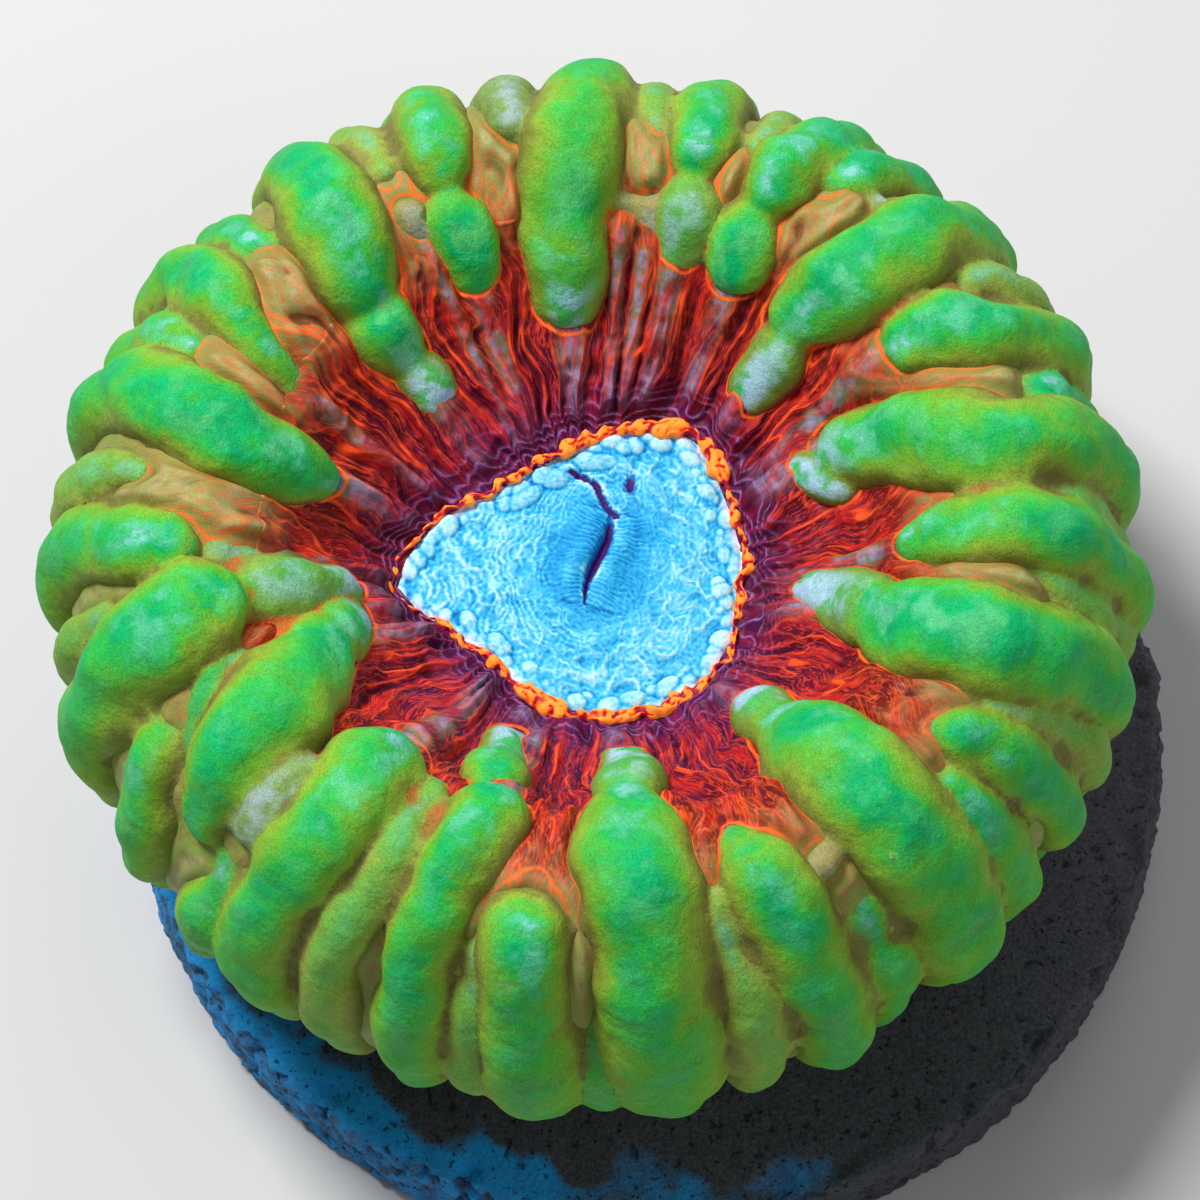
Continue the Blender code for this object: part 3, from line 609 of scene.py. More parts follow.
def tail_ridges(azimuth, distance, rim):
    """Low ridges that run in from the lobes' inner ends to the oral disc, 0 to 1."""
    ridge = np.zeros(len(azimuth))
    for lobe in LOBES:
        start, reach, width = lobe.path[0]
        if lobe.kind in ("pearl", "seam") or reach > 27:
            continue
        share = np.clip((distance - rim) / (reach - rim + 1e-6), 0, 1)
        half = 0.7 + (width - 0.5) * share
        gap = (np.mod(azimuth - start + 180, 360) - 180) / 57.3 * (rim + (reach - rim) * share)
        fade = ease(0.2, 2.0, distance - rim) * ease(reach + 2.5, reach + 0.5, distance)
        ridge = np.maximum(ridge, np.exp(-(gap / half) ** 2) * fade)
    return ridge


def pleat_ring(name, columns, starts, ends, spread, soften=0):
    """A closed ring of pleated skin between two distances along the crest curve."""
    rows = len(spread) - 1 + BACK_ROWS
    obj, share, azimuth = wrapped_grid(name, columns, rows)
    row = np.round(share * rows).astype(int)
    back = np.clip((row - len(spread) + 1) / BACK_ROWS, 0, 1)
    share = spread[np.minimum(row, len(spread) - 1)] * (1 - back)
    start, end = starts(azimuth), ends(azimuth)
    distance = start + (end - start) * share
    points, normals = valley_point(azimuth, distance)
    _, near, next_near, _, _ = lobe_fields(points)
    bulge = swelling(points) - LOBE_SHRINK
    lift, marks, lines, flow = pleats(points, azimuth, distance, near - bulge, next_near - bulge)
    lift[(row == 0) | (row == len(spread) - 1)] -= 0.15
    under = row >= len(spread)
    lift[under] = -BACK_DEPTH - 0.3 * np.sin(back[under] * math.pi)
    points += normals * lift[:, None]
    near = lobe_fields(points, 2.0)[1] - swelling(points) + LOBE_SHRINK
    dive = -0.8 * ease(-0.15, -0.9, near) * (back == 0)
    points += normals * dive[:, None]
    set_points(obj, to_world(points))
    layer = obj.data.attributes.new("flow", "FLOAT_VECTOR", "POINT")
    layer.data.foreach_set("vector", flow.astype(np.float32).ravel())
    lines["near"] = near
    for key, values in lines.items():
        marks[key] = line_distance(values, points, columns)
    for key, values in marks.items():
        set_value(obj, key, values)
    close_and_face_out(obj)
    if soften:
        apply_modifier(obj, "SMOOTH", factor=0.5, iterations=soften)
    points = get_points(obj) / MM - AXIS
    set_value(obj, "cavity", hollows(obj, points, get_normals(obj), 8))
    return obj


def make_slope():
    """The folded inner slope between the oral disc's rim and the crown."""
    fine = np.linspace(0, 0.22, 34)
    spread = np.r_[fine, np.linspace(0.22, 1, 80)[1:]]
    return pleat_ring("inner_slope", SLOPE_COLUMNS, lambda azimuth: edge_radius(azimuth) - 0.05,
                      lambda azimuth: SLOPE_END + SLOPE_LAP, spread)


def make_crown():
    """The pleated skin between the lobes on the crown and the outer wall."""
    spread = np.linspace(0, 1, CROWN_ROWS)
    return pleat_ring("crown_pleats", CROWN_COLUMNS, lambda azimuth: SLOPE_END - SLOPE_LAP,
                      lambda azimuth: PLEAT_END, spread, soften=6)


def cells(points):
    """Cells of a unit size: distance to the nearest centre and how much further the next one is."""
    cell = np.floor(points).astype(int)
    first = np.full(len(points), 9.0)
    second = first.copy()
    for corner in itertools.product((-1, 0, 1), repeat=3):
        at = (cell + corner) & 255
        pick = LATTICE[(LATTICE[(LATTICE[at[:, 0]] + at[:, 1]) & 255] + at[:, 2]) & 255]
        gap = np.linalg.norm(points - cell - corner - 0.5 - 0.38 * GRADIENTS[pick], axis=1)
        second = np.minimum(second, np.maximum(first, gap))
        first = np.minimum(first, gap)
    return first, second - first


Skin = namedtuple("Skin", "distance past flow wide slim fine ridged ledge broad tail")


def skin_fields(points, azimuth, distance):
    """What the pleated skin's relief is made from. Its flow runs the way that the pleats do."""
    past = distance - edge_radius(azimuth)
    drift = 4.5 * noise(points, 6.0, 2) + 1.6 * noise(points, 2.6, 5) + 0.4 * noise(points, 1.1, 9)
    angle = np.radians(azimuth + drift)
    flow = np.stack([FLOW_RADIUS * np.cos(angle), FLOW_RADIUS * np.sin(angle),
                     distance / FLOW_STRETCH], 1)
    level = np.stack([flow[:, 0] * 0.4, flow[:, 1] * 0.4, distance], 1)
    wide, slim, fine = noise(flow, 1.9, 1), noise(flow, 0.95, 4), noise(flow, 0.5, 7)
    ledge, broad = noise(level, 1.7, 3), noise(points, 3.4, 8)
    tail = tail_ridges(azimuth, distance, distance - past)
    return Skin(distance, past, flow, wide, slim, fine, ridges(wide), ledge, broad, tail)


def slope_lift(skin, near):
    """Relief of the inner slope: folds, fine pleats, ledges and the lobes' tails."""
    calm = 0.25 + 0.75 * ease(-0.1, 1.0, near)
    lift = calm * (0.42 * ridges(skin.slim) + 0.12 * (0.5 - np.abs(skin.fine)))
    lift += 0.90 * skin.ridged * (0.4 + 0.6 * calm)
    return lift + 0.35 * skin.broad + 0.25 * (0.4 - 1.3 * np.abs(skin.ledge)) + 1.05 * skin.tail


def hem_lift(skin, points):
    """Relief of the hem round the oral disc, and the wave of its festoons."""
    festoon = skin.past / 0.80 + 0.9 * skin.ridged + 1.3 * noise(points, 2.2, 6) + 0.7 * skin.ledge
    waves = wave(festoon)
    return 0.13 * waves + 0.35 * noise(points, 1.6, 12) + 0.35 * skin.ridged - 0.1, waves


def crown_lift(skin, points, gap, other):
    """Relief of the skin between the lobes: swollen beads, shoulders and lines that hug the lobes."""
    flow, distance = skin.flow, skin.distance
    away, border = cells(np.stack([flow[:, 0] / 1.3, flow[:, 1] / 1.3, distance / 3.4], 1))
    room = np.clip((gap + other) / 1.8, 0.25, 1) * ease(0.0, 0.6, gap)
    bead = np.sqrt(np.clip(1 - (away / 0.9) ** 2, 0, 1)) * room
    lift = 1.25 * bead * (1 - 0.65 * ease(38, 48, distance)) + 0.12 * skin.ridged
    lift += 0.10 * ridges(skin.slim) + 0.20 * skin.broad - 0.25
    middle = np.clip((other - gap) / (other + gap + 1e-6), 0, 1)
    shoulder = np.sqrt(1 - (1 - middle) ** 2) * np.clip((gap + other) / 1.5, 0, 1)
    lift += 0.35 * shoulder * ease(3.6, 2.2, gap)
    contour = gap / 0.6 + 0.5 * noise(points, 2.0, 4) + 0.2 * skin.slim
    hug = wave(contour) * ease(2.6, 1.2, gap)
    return lift + 0.06 * hug, bead, border, hug


def pleats(points, azimuth, distance, near, next_near):
    """Height of the pleated skin, what its material is mixed from, its lines, the way it runs."""
    skin = skin_fields(points, azimuth, distance)
    gap, other = np.clip(near, 0, 4), np.clip(next_near, 0, 4)
    inner = ease(0.4, 3.0, skin.past) * ease(32, 24, distance)
    outer = ease(22, 29, distance)
    hem = ease(5.0, 1.2, skin.past)
    hem_relief, waves = hem_lift(skin, points)
    crown_relief, bead, border, hug = crown_lift(skin, points, gap, other)
    lift = inner * slope_lift(skin, near) + hem * hem_relief + outer * crown_relief
    lift += np.exp(-(gap / 0.9) ** 2) * (0.05 * inner + 0.30 * outer)
    marks = {"reach": distance, "past_rim": skin.past, "tail": skin.tail, "hug": ease(0.70, 0.96, hug),
             "bead": bead, "festoon": ease(0.72, 0.95, waves) * hem}
    lines = {"fold_line": skin.wide, "pleat_line": skin.slim, "bead_line": border,
             "mid_line": other - gap}
    return lift, marks, lines, skin.flow


def make_oral_disc():
    """The flat centre with the mouth's slit: a closed lens with wrinkles, ridges and beads."""
    obj, polar, azimuth = wrapped_grid("oral_disc", *ORAL_GRID)
    share = np.clip(polar / ORAL_TOP, 0, 1)
    radius = share * (edge_radius(azimuth) + ORAL_LAP)
    angle = np.radians(azimuth)
    points = np.stack([radius * np.cos(angle), radius * np.sin(angle), 0 * radius], 1)
    height, slit, mouth_shade = oral_relief(points, share)
    below = polar > ORAL_TOP
    drop = (polar[below] - ORAL_TOP) / (1 - ORAL_TOP)
    points[below, 0:2] *= (1 - drop)[:, None]
    height[below] = RIM_HEIGHT - ORAL_DEPTH - ORAL_DEPTH * np.sin(drop * math.pi / 2)
    points[:, 2] = height
    set_points(obj, to_world(points))
    set_value(obj, "slit", slit)
    set_value(obj, "mouth_shade", mouth_shade)
    set_value(obj, "share", share)
    close_and_face_out(obj)
    points = get_points(obj) / MM - AXIS
    up = np.array([0, 0, 1.0])
    set_value(obj, "cavity", hollows(obj, points, up, 6))
    set_value(obj, "hollow", hollows(obj, points, up, 40))
    return obj


# Mouth: centre, direction and half length of the slit, and the crack that runs on from its end.
MOUTH = np.array([0.35, 0.9])
MOUTH_ANGLE = math.radians(75)
MOUTH_HALF = 3.7
CRACK = np.array([(-1.6, 7.5), (-0.6, 7.1), (0.3, 6.5), (0.6, 5.6), (0.9, 4.9), (1.6, 4.2)])
BLOT = np.array([2.6, 6.6])
# Swollen beads round the edge: two large ones at their places, then a row of smaller ones.
BIG_BEADS = ((0.3, 8.3, 1.6, 0.75, 5), (-4.8, 5.5, 1.5, 0.8, 35))


def edge_beads(points):
    """Height of the swollen beads along the oral disc's edge."""
    beads = [(x, y, long, short, math.radians(turn)) for x, y, long, short, turn in BIG_BEADS]
    azimuth = 0.0
    while azimuth < 360:
        size = RNG.uniform(0.38, 0.85)
        radius = float(rim_radius(azimuth)) - RNG.uniform(0.2, 1.5)
        angle = math.radians(azimuth)
        beads.append((radius * math.cos(angle), radius * math.sin(angle), size * RNG.uniform(1.0, 1.5),
                      size, angle + math.pi / 2 + RNG.uniform(-0.4, 0.4)))
        azimuth += math.degrees(RNG.uniform(0.55, 1.05) / radius)
    height = np.zeros(len(points))
    for x, y, long, short, turn in beads:
        near = np.flatnonzero((np.abs(points[:, 0] - x) < 2.2) & (np.abs(points[:, 1] - y) < 2.2))
        dx, dy = points[near, 0] - x, points[near, 1] - y
        u = (dx * math.cos(turn) + dy * math.sin(turn)) / long
        v = (dy * math.cos(turn) - dx * math.sin(turn)) / short
        dome = np.sqrt(np.clip(1 - u * u - v * v, 0, 1)) * short * 0.75
        height[near] = np.maximum(height[near], dome)
    return height


def line_gap(points, line):
    """Distance in the plane from points to a line through a few places."""
    best = np.full(len(points), 1e3)
    for start, end in zip(line, line[1:]):
        step = end - start
        t = np.clip((points[:, :2] - start) @ step / (step @ step), 0, 1)
        best = np.minimum(best, np.linalg.norm(points[:, :2] - start - t[:, None] * step, axis=1))
    return best


def mouth_frame(points):
    """Places along and across the mouth's slit, which bends a little."""
    along = np.array([math.cos(MOUTH_ANGLE), math.sin(MOUTH_ANGLE)])
    across = np.array([along[1], -along[0]])
    offset = points[:, :2] - MOUTH
    u = offset @ along
    return u, offset @ across - 0.25 * np.sin(u * 0.9)


def dark_openings(points, u, gap, taper):
    """The slit, the crack that runs on from it and the blot beside it, 1 where they are deepest."""
    ragged = 0.07 * noise(points, 0.5, 31) + 0.05 * noise(points, 0.25, 32)
    slit = np.exp(-((gap + ragged) / (0.10 + 0.28 * taper * ease(-3.7, 3.0, u + 1.5))) ** 2)
    crack = np.exp(-((line_gap(points, CRACK) + 1.8 * ragged) / 0.22) ** 2)
    blot = np.linalg.norm((points[:, :2] - BLOT) * (1, 0.6), axis=1) + 2.5 * ragged
    return slit * np.sqrt(taper), crack, np.exp(-(blot / 0.38) ** 2)


def mouth_ridges(points, u, v, mouth_gap, open_skin):
    """Fine comb beside the slit and faint rings round it, and how strong the comb is."""
    fan = u / 0.31 * (1 - 0.10 * np.minimum(np.abs(v), 4)) + 0.7 * noise(points, 0.9, 3)
    combed = np.exp(-(mouth_gap / 4.2) ** 4) * ease(-0.25, 0.3, 1 - (u / (MOUTH_HALF * 1.15)) ** 2)
    ripple = mouth_gap / 0.52 + 1.6 * noise(points, 2.6, 2) + 0.8 * noise(points, 0.9, 5)
    ringed = ease(2.4, 3.6, mouth_gap) * (0.35 + 0.65 * ease(2.5, -2.0, v))
    ringed *= ease(-0.7, 0.3, noise(points, 2.2, 33))
    return 0.075 * combed * wave(fan) * open_skin + 0.085 * ringed * wave(ripple), combed


def oral_wrinkles(points, mouth_gap, combed):
    """Worm-like wrinkles and soft cobbles away from the comb."""
    sway = np.stack([noise(points, 1.1, 21), noise(points, 1.1, 22), 0 * mouth_gap], 1)
    warped = points + 0.35 * sway
    worm = 1 - 2.2 * np.abs(noise(warped, 0.95, 1))
    fine = 1 - 2.2 * np.abs(noise(warped, 0.45, 6))
    cobble = 0.5 - 1.6 * np.abs(noise(warped, 2.0, 34))
    height = (1 - 0.85 * combed) * (0.05 * np.clip(worm, -0.6, 1) + 0.045 * fine)
    return height + 0.25 * noise(points, 2.4, 9) + 0.22 * cobble * ease(3.0, 5.5, mouth_gap)


def oral_relief(points, share):
    """Height of the oral disc, its dark openings, and the painted shade of deeper blue round the
    mouth.
    """
    u, v = mouth_frame(points)
    taper = np.clip(1 - (u / MOUTH_HALF) ** 2, 0, 1)
    gap = np.hypot(v, np.maximum(np.abs(u) - MOUTH_HALF, 0))
    mouth_gap = np.hypot(u * 0.72, v)
    slit, crack, blot = dark_openings(points, u, gap, taper)
    lips = np.exp(-((gap - 1.2) / 1.0) ** 2) * np.sqrt(taper)
    height = RIM_HEIGHT - 0.75 + 0.60 * lips - 1.6 * slit - 0.6 * crack - 0.4 * blot
    fine_ridges, combed = mouth_ridges(points, u, v, mouth_gap, 1 - slit)
    height += fine_ridges + oral_wrinkles(points, mouth_gap, combed)
    beads = edge_beads(points)
    height = np.maximum(height, height * 0.35 + 0.65 * (RIM_HEIGHT - 0.95) + beads * (share < 0.999))
    height += 0.03 * noise(points, 0.3, 11)
    dark = np.clip(np.maximum.reduce([slit, crack, blot]), 0, 1)
    # Painted shade: deeper blue round the slit, more on one side, and across the middle.
    mouth_shade = np.exp(-(gap / (0.5 + 1.5 * np.sqrt(taper))) ** 2) * (0.4 + 0.6 * ease(1.0, -1.0, v))
    mouth_shade = np.maximum(mouth_shade, 0.45 * np.exp(-(mouth_gap / 4.6) ** 4))
    return height, dark, mouth_shade


def make_oral_rim():
    """The orange band of beads round the oral disc."""
    deselect()
    bpy.ops.mesh.primitive_torus_add(major_segments=RIM_GRID[0], minor_segments=RIM_GRID[1],
                                     major_radius=1, minor_radius=0.25)
    obj = named("oral_rim")
    ring = get_points(obj)
    azimuth = np.degrees(np.arctan2(ring[:, 1], ring[:, 0])) % 360
    turn = np.arctan2(ring[:, 2], np.hypot(ring[:, 0], ring[:, 1]) - 1)
    angle = np.radians(azimuth)
    middle = edge_radius(azimuth)
    line = np.stack([middle * np.cos(angle), middle * np.sin(angle), 0 * angle], 1)
    scallop = 0.50 * noise(line, 1.6, 2) + 0.30 * noise(line, 0.65, 5)
    swell = 0.35 + 0.9 * noise(line, 2.2, 8) + 0.5 * noise(line, 0.8, 4)
    strong = 0.55 + 0.45 * np.abs(np.cos(np.radians(azimuth - 65)))
    strong *= 1 - 0.5 * np.exp(-((azimuth - 195) / 30) ** 2)
    thick = (0.17 + 0.60 * np.clip(swell, 0, 1.2)) * strong
    radius = middle + 0.25 + scallop + 1.2 * thick * np.cos(turn)
    height = RIM_HEIGHT - 0.35 + 0.9 * thick * np.sin(turn) + 0.15 * noise(line, 1.8, 9)
    points = np.stack([radius * np.cos(angle), radius * np.sin(angle), height], 1)
    lumps = 0.55 * np.abs(noise(points, 0.8, 4)) + 0.30 * np.abs(noise(points, 0.38, 6))
    points[:, 2] += lumps * np.clip(np.sin(turn) + 0.5, 0, 1)
    set_points(obj, to_world(points))
    close_and_face_out(obj)
    points = get_points(obj) / MM - AXIS
    set_value(obj, "cavity", hollows(obj, points, get_normals(obj), 6))
    return obj


# Outline of the cement disc: share of the way from the top's middle to the bottom's middle,
# radius, height.
DISC_OUTLINE = np.array([(0, 0, 7.0), (0.06, 16, 7.0), (0.50, 36.6, 7.0), (0.53, 37.2, 6.8),
                         (0.56, 37.45, 6.3), (0.80, 37.5, 0.8), (0.83, 37.2, 0.25), (0.86, 36.6, 0.0),
                         (1.0, 0, 0.0)])


def make_disc():
    """The cement disc: fine pores above, a broken rough wall, flat below."""
    obj, polar, azimuth = wrapped_grid("cement_disc", *DISC_GRID)
    radius = np.interp(polar, DISC_OUTLINE[:, 0], DISC_OUTLINE[:, 1])
    height = np.interp(polar, DISC_OUTLINE[:, 0], DISC_OUTLINE[:, 2])
    angle = np.radians(azimuth)
    points = np.stack([radius * np.cos(angle), radius * np.sin(angle), height], 1)
    wall = ease(0.49, 0.55, polar) * (1 - ease(0.80, 0.86, polar))
    top = 1 - ease(0.48, 0.52, polar)
    rough = 0.24 * noise(points, 3.0, 1) + 0.24 * noise(points, 1.2, 5) + 0.18 * noise(points, 0.6, 2)
    pits = ease(0.22, 0.48, noise(points, 1.4, 9)) + 0.6 * ease(0.30, 0.5, noise(points, 0.8, 3))
    edge = ease(0.45, 0.50, polar) * (1 - ease(0.55, 0.62, polar))
    chips = edge * ease(0.05, 0.5, noise(points, 2.4, 21) + 0.4 * noise(points, 0.9, 22))
    push = wall * (rough - 0.45 * pits - 0.1) - 0.5 * chips
    spokes = np.stack([np.cos(angle), np.sin(angle), 0 * angle], 1)
    points += spokes * push[:, None]
    holes = ease(0.42, 0.6, noise(points, 0.8, 17))
    points[:, 2] += top * (0.05 * noise(points, 1.5, 6) - 0.22 * holes - 0.02) - 0.6 * chips
    points[:, 2] = np.clip(points[:, 2], 0, DISC_HEIGHT)
    set_points(obj, points * MM)
    set_value(obj, "pits", np.clip(np.maximum(wall * pits, top * holes), 0, 1))
    set_value(obj, "wall", wall)
    close_and_face_out(obj)
    return obj


class Shade:
    """Writes a material's or a group's nodes."""

    def __init__(self, tree):
        self.tree = tree

    def put(self, socket, value):
        """Link an output to a socket, or set the socket's own value."""
        if isinstance(value, bpy.types.NodeSocket):
            self.tree.links.new(value, socket)
        elif isinstance(value, tuple) and len(value) == 3 and socket.type == "RGBA":
            socket.default_value = (*value, 1.0)
        else:
            socket.default_value = value

    def node(self, kind, inputs=(), **settings):
        """A new node with its inputs put and its settings made."""
        node = self.tree.nodes.new(kind)
        for key, value in settings.items():
            setattr(node, key, value)
        for key, value in dict(inputs).items():
            self.put(node.inputs[key], value)
        return node

    def value(self, name):
        """A number kept on the vertices."""
        return self.node("ShaderNodeAttribute", attribute_name=name).outputs["Fac"]

    def place(self):
        """The place on the piece, in metres."""
        return self.node("ShaderNodeTexCoord").outputs["Object"]

    def noise(self, size, detail=2.0, roughness=0.5, vector=None, distortion=0.0):
        """Noise with lumps of a size in metres."""
        inputs = {"Vector": vector or self.place(), "Scale": 1 / size, "Detail": detail,
                  "Roughness": roughness, "Distortion": distortion}
        return self.node("ShaderNodeTexNoise", inputs).outputs["Fac"]

    def math(self, operation, a, b=0.0, c=0.0):
        """One step of arithmetic."""
        return self.node("ShaderNodeMath", {0: a, 1: b, 2: c}, operation=operation).outputs[0]

    def times(self, a, b):
        """The product of two values."""
        return self.math("MULTIPLY", a, b)

    def larger(self, a, b):
        """The larger of two values."""
        return self.math("MAXIMUM", a, b)

    def stir(self, value, noise, amount):
        """A value moved up and down by a noise."""
        return self.math("MULTIPLY_ADD", self.math("SUBTRACT", noise, 0.5), amount, value)

    def ease(self, value, low, high, start=0.0, end=1.0):
        """From start at low to end at high, smooth between."""
        inputs = {"Value": value, "From Min": low, "From Max": high, "To Min": start, "To Max": end}
        return self.node("ShaderNodeMapRange", inputs, interpolation_type="SMOOTHSTEP").outputs[0]

    def mix(self, share, a, b):
        """Colour a with a share of colour b."""
        node = self.node("ShaderNodeMix", data_type="RGBA")
        for index, value in ((0, share), (6, a), (7, b)):
            self.put(node.inputs[index], value)
        return node.outputs[2]

    def ramp(self, value, stops):
        """A colour picked by a value from stops."""
        node = self.node("ShaderNodeValToRGB", {"Fac": value})
        points = node.color_ramp.elements
        while len(points) < len(stops):
            points.new(0.5)
        for point, (place, colour) in zip(points, stops):
            point.position = place
            point.color = (*colour, 1.0)
        return node.outputs["Color"]

    def bump(self, height, strength, distance, normal=None):
        """Normals for a relief that is too fine for the mesh."""
        inputs = {"Height": height, "Strength": strength, "Distance": distance}
        if normal:
            inputs["Normal"] = normal
        return self.node("ShaderNodeBump", inputs).outputs["Normal"]


def grain_group():
    """Fine stipple of living flesh: speckles a colour and gives a height for bump."""
    group = bpy.data.node_groups.new("flesh_stipple", "ShaderNodeTree")
    sockets = group.interface
    sockets.new_socket("Colour", in_out="INPUT", socket_type="NodeSocketColor")
    sockets.new_socket("Speck Size", in_out="INPUT", socket_type="NodeSocketFloat")
    sockets.new_socket("Strength", in_out="INPUT", socket_type="NodeSocketFloat")
    sockets.new_socket("Colour", in_out="OUTPUT", socket_type="NodeSocketColor")
    sockets.new_socket("Height", in_out="OUTPUT", socket_type="NodeSocketFloat")
    shade = Shade(group)
    start = shade.node("NodeGroupInput").outputs
    end = shade.node("NodeGroupOutput").inputs
    scale = shade.math("DIVIDE", 1.0, start["Speck Size"])
    fine = shade.node("ShaderNodeTexNoise", {"Vector": shade.place(), "Scale": scale, "Detail": 2.0,
                                             "Roughness": 0.7}).outputs["Fac"]
    coarse = shade.noise(0.9 * MM, detail=2.0)
    speck = shade.math("ADD", shade.times(fine, 0.75), shade.times(coarse, 0.25))
    swing = shade.times(shade.math("SUBTRACT", speck, 0.5), start["Strength"])
    gain = shade.math("ADD", swing, 1.0)
    bright = shade.node("ShaderNodeVectorMath", {0: start["Colour"]}, operation="SCALE")
    shade.put(bright.inputs["Scale"], gain)
    shade.put(end["Colour"], bright.outputs[0])
    shade.put(end["Height"], speck)
    return group


def flesh_material(name, grain, roughness, glow):
    """A material for flesh that glows with its own colour as painted light, with its Shade and a
    finisher for colour and relief.
    """
    material = bpy.data.materials.new(name)
    material.use_nodes = True
    shade = Shade(material.node_tree)
    shader = material.node_tree.nodes["Principled BSDF"]
    shader.inputs["Roughness"].default_value = roughness
    shader.inputs["Specular IOR Level"].default_value = 0.12
    # Painted glow: the flesh gives off light at this strength, though it is no lamp.
    shader.inputs["Emission Strength"].default_value = glow

    def finish(colour, height, depth, speck=0.13 * MM, strength=0.9):
        """Stipple the colour and join it and the relief to the shader."""
        stipple = shade.node("ShaderNodeGroup", node_tree=grain)
        shade.put(stipple.inputs["Colour"], colour)
        shade.put(stipple.inputs["Speck Size"], speck)
        shade.put(stipple.inputs["Strength"], strength)
        shade.put(shader.inputs["Base Color"], stipple.outputs["Colour"])
        # The stippled colour is also given off as the painted glow.
        shade.put(shader.inputs["Emission Color"], stipple.outputs["Colour"])
        fine = shade.bump(stipple.outputs["Height"], 0.3, 0.05 * MM)
        shade.put(shader.inputs["Normal"], shade.bump(height, 1.0, depth, fine))
    return material, shade, finish


LobeMarks = namedtuple("LobeMarks", "core along crease cavity rise reach green pale tan tone broad "
                                    "cloud patch inner level")


def lobe_marks(shade):
    """What the lobes' colours are mixed from: values kept on the mesh, and noises."""
    core, green, tone = shade.value("core"), shade.value("green"), shade.value("tone")
    reach = shade.value("reach")
    broad = shade.noise(5.0 * MM, detail=2.0)
    cloud = shade.noise(2.2 * MM, detail=3.0)
    patch = shade.noise(0.9 * MM, detail=3.0, roughness=0.6)
    level = shade.stir(shade.stir(shade.stir(core, broad, 0.9), cloud, 0.35), patch, 0.14)
    level = shade.math("MULTIPLY_ADD", tone, 0.16, shade.math("SUBTRACT", level, 0.12))
    return LobeMarks(core, shade.value("along"), shade.value("crease"), shade.value("cavity"),
                     shade.value("rise"), reach, green, shade.value("pale"), shade.value("tan"), tone,
                     broad, cloud, patch, shade.ease(reach, 36, 24), shade.times(level, green))


def crest_colour(shade, lobes):
    """Olive flanks to emerald crests, painted pale green highlights on the crests, a painted pale blue
    highlight at a lobe's tip, sunnier outside.
    """
    colour = shade.ramp(lobes.level, ((0.08, (0.15, 0.13, 0.030)), (0.34, (0.18, 0.21, 0.032)),
                                      (0.55, (0.20, 0.33, 0.030)), (0.72, (0.10, 0.36, 0.028)),
                                      (0.88, (0.020, 0.37, 0.055)), (1.0, (0.001, 0.33, 0.100))))
    # Painted highlights: pale green clouds on the crests, stronger inwards, and pale blue to whitish
    # blue at the inner tips.
    mint_highlight, aqua_highlight, ice_highlight = (0.13, 0.50, 0.13), (0.10, 0.44, 0.32), (0.26, 0.50, 0.56)
    clouds = shade.times(shade.ease(lobes.cloud, 0.46, 0.66), shade.ease(lobes.level, 0.5, 0.9))
    colour = shade.mix(shade.times(clouds, shade.ease(lobes.reach, 42, 26, 0.15, 0.5)), colour, mint_highlight)
    # Painted highlight at a lobe's inner tip, on its crest.
    tip = shade.times(shade.ease(lobes.along, 0.30, 0.06), shade.ease(lobes.core, 0.80, 1.0))
    tip = shade.times(shade.times(tip, shade.ease(lobes.cloud, 0.42, 0.62)), lobes.green)
    colour = shade.mix(shade.times(tip, 0.7), colour, aqua_highlight)
    colour = shade.mix(shade.times(shade.ease(tip, 0.70, 1.0), 0.5), colour, ice_highlight)
    outer = shade.ease(lobes.reach, 40, 56)
    sunny = shade.mix(lobes.cloud, (0.05, 0.28, 0.010), (0.20, 0.38, 0.015))
    return shade.mix(shade.times(outer, shade.times(lobes.green, 0.40)), colour, sunny)


def kind_colour(shade, lobes, colour):
    """Tan beans, and hazy lobes with a painted grey to pale blue highlight on their backs."""
    bean = shade.mix(lobes.cloud, (0.37, 0.23, 0.11), (0.26, 0.27, 0.10))
    colour = shade.mix(shade.times(lobes.tan, 0.9), colour, bean)
    haze = shade.mix(lobes.patch, (0.11, 0.25, 0.05), (0.18, 0.32, 0.09))
    veil = shade.times(lobes.pale, shade.ease(lobes.level, -0.1, 0.5, 0.45, 0.85))
    colour = shade.mix(veil, colour, haze)
    # Painted highlight: grey to pale blue on the crests of the pale lobes, bluer inwards.
    shine = shade.times(lobes.pale, shade.ease(lobes.cloud, 0.40, 0.60))
    shine = shade.times(shine, shade.ease(lobes.reach, 48, 36))
    blue_highlight = shade.mix(lobes.inner, (0.29, 0.38, 0.40), (0.33, 0.50, 0.64))
    shine = shade.times(shine, shade.ease(lobes.core, 0.70, 1.0, 0.0, 0.80))
    return shade.mix(shine, colour, blue_highlight)


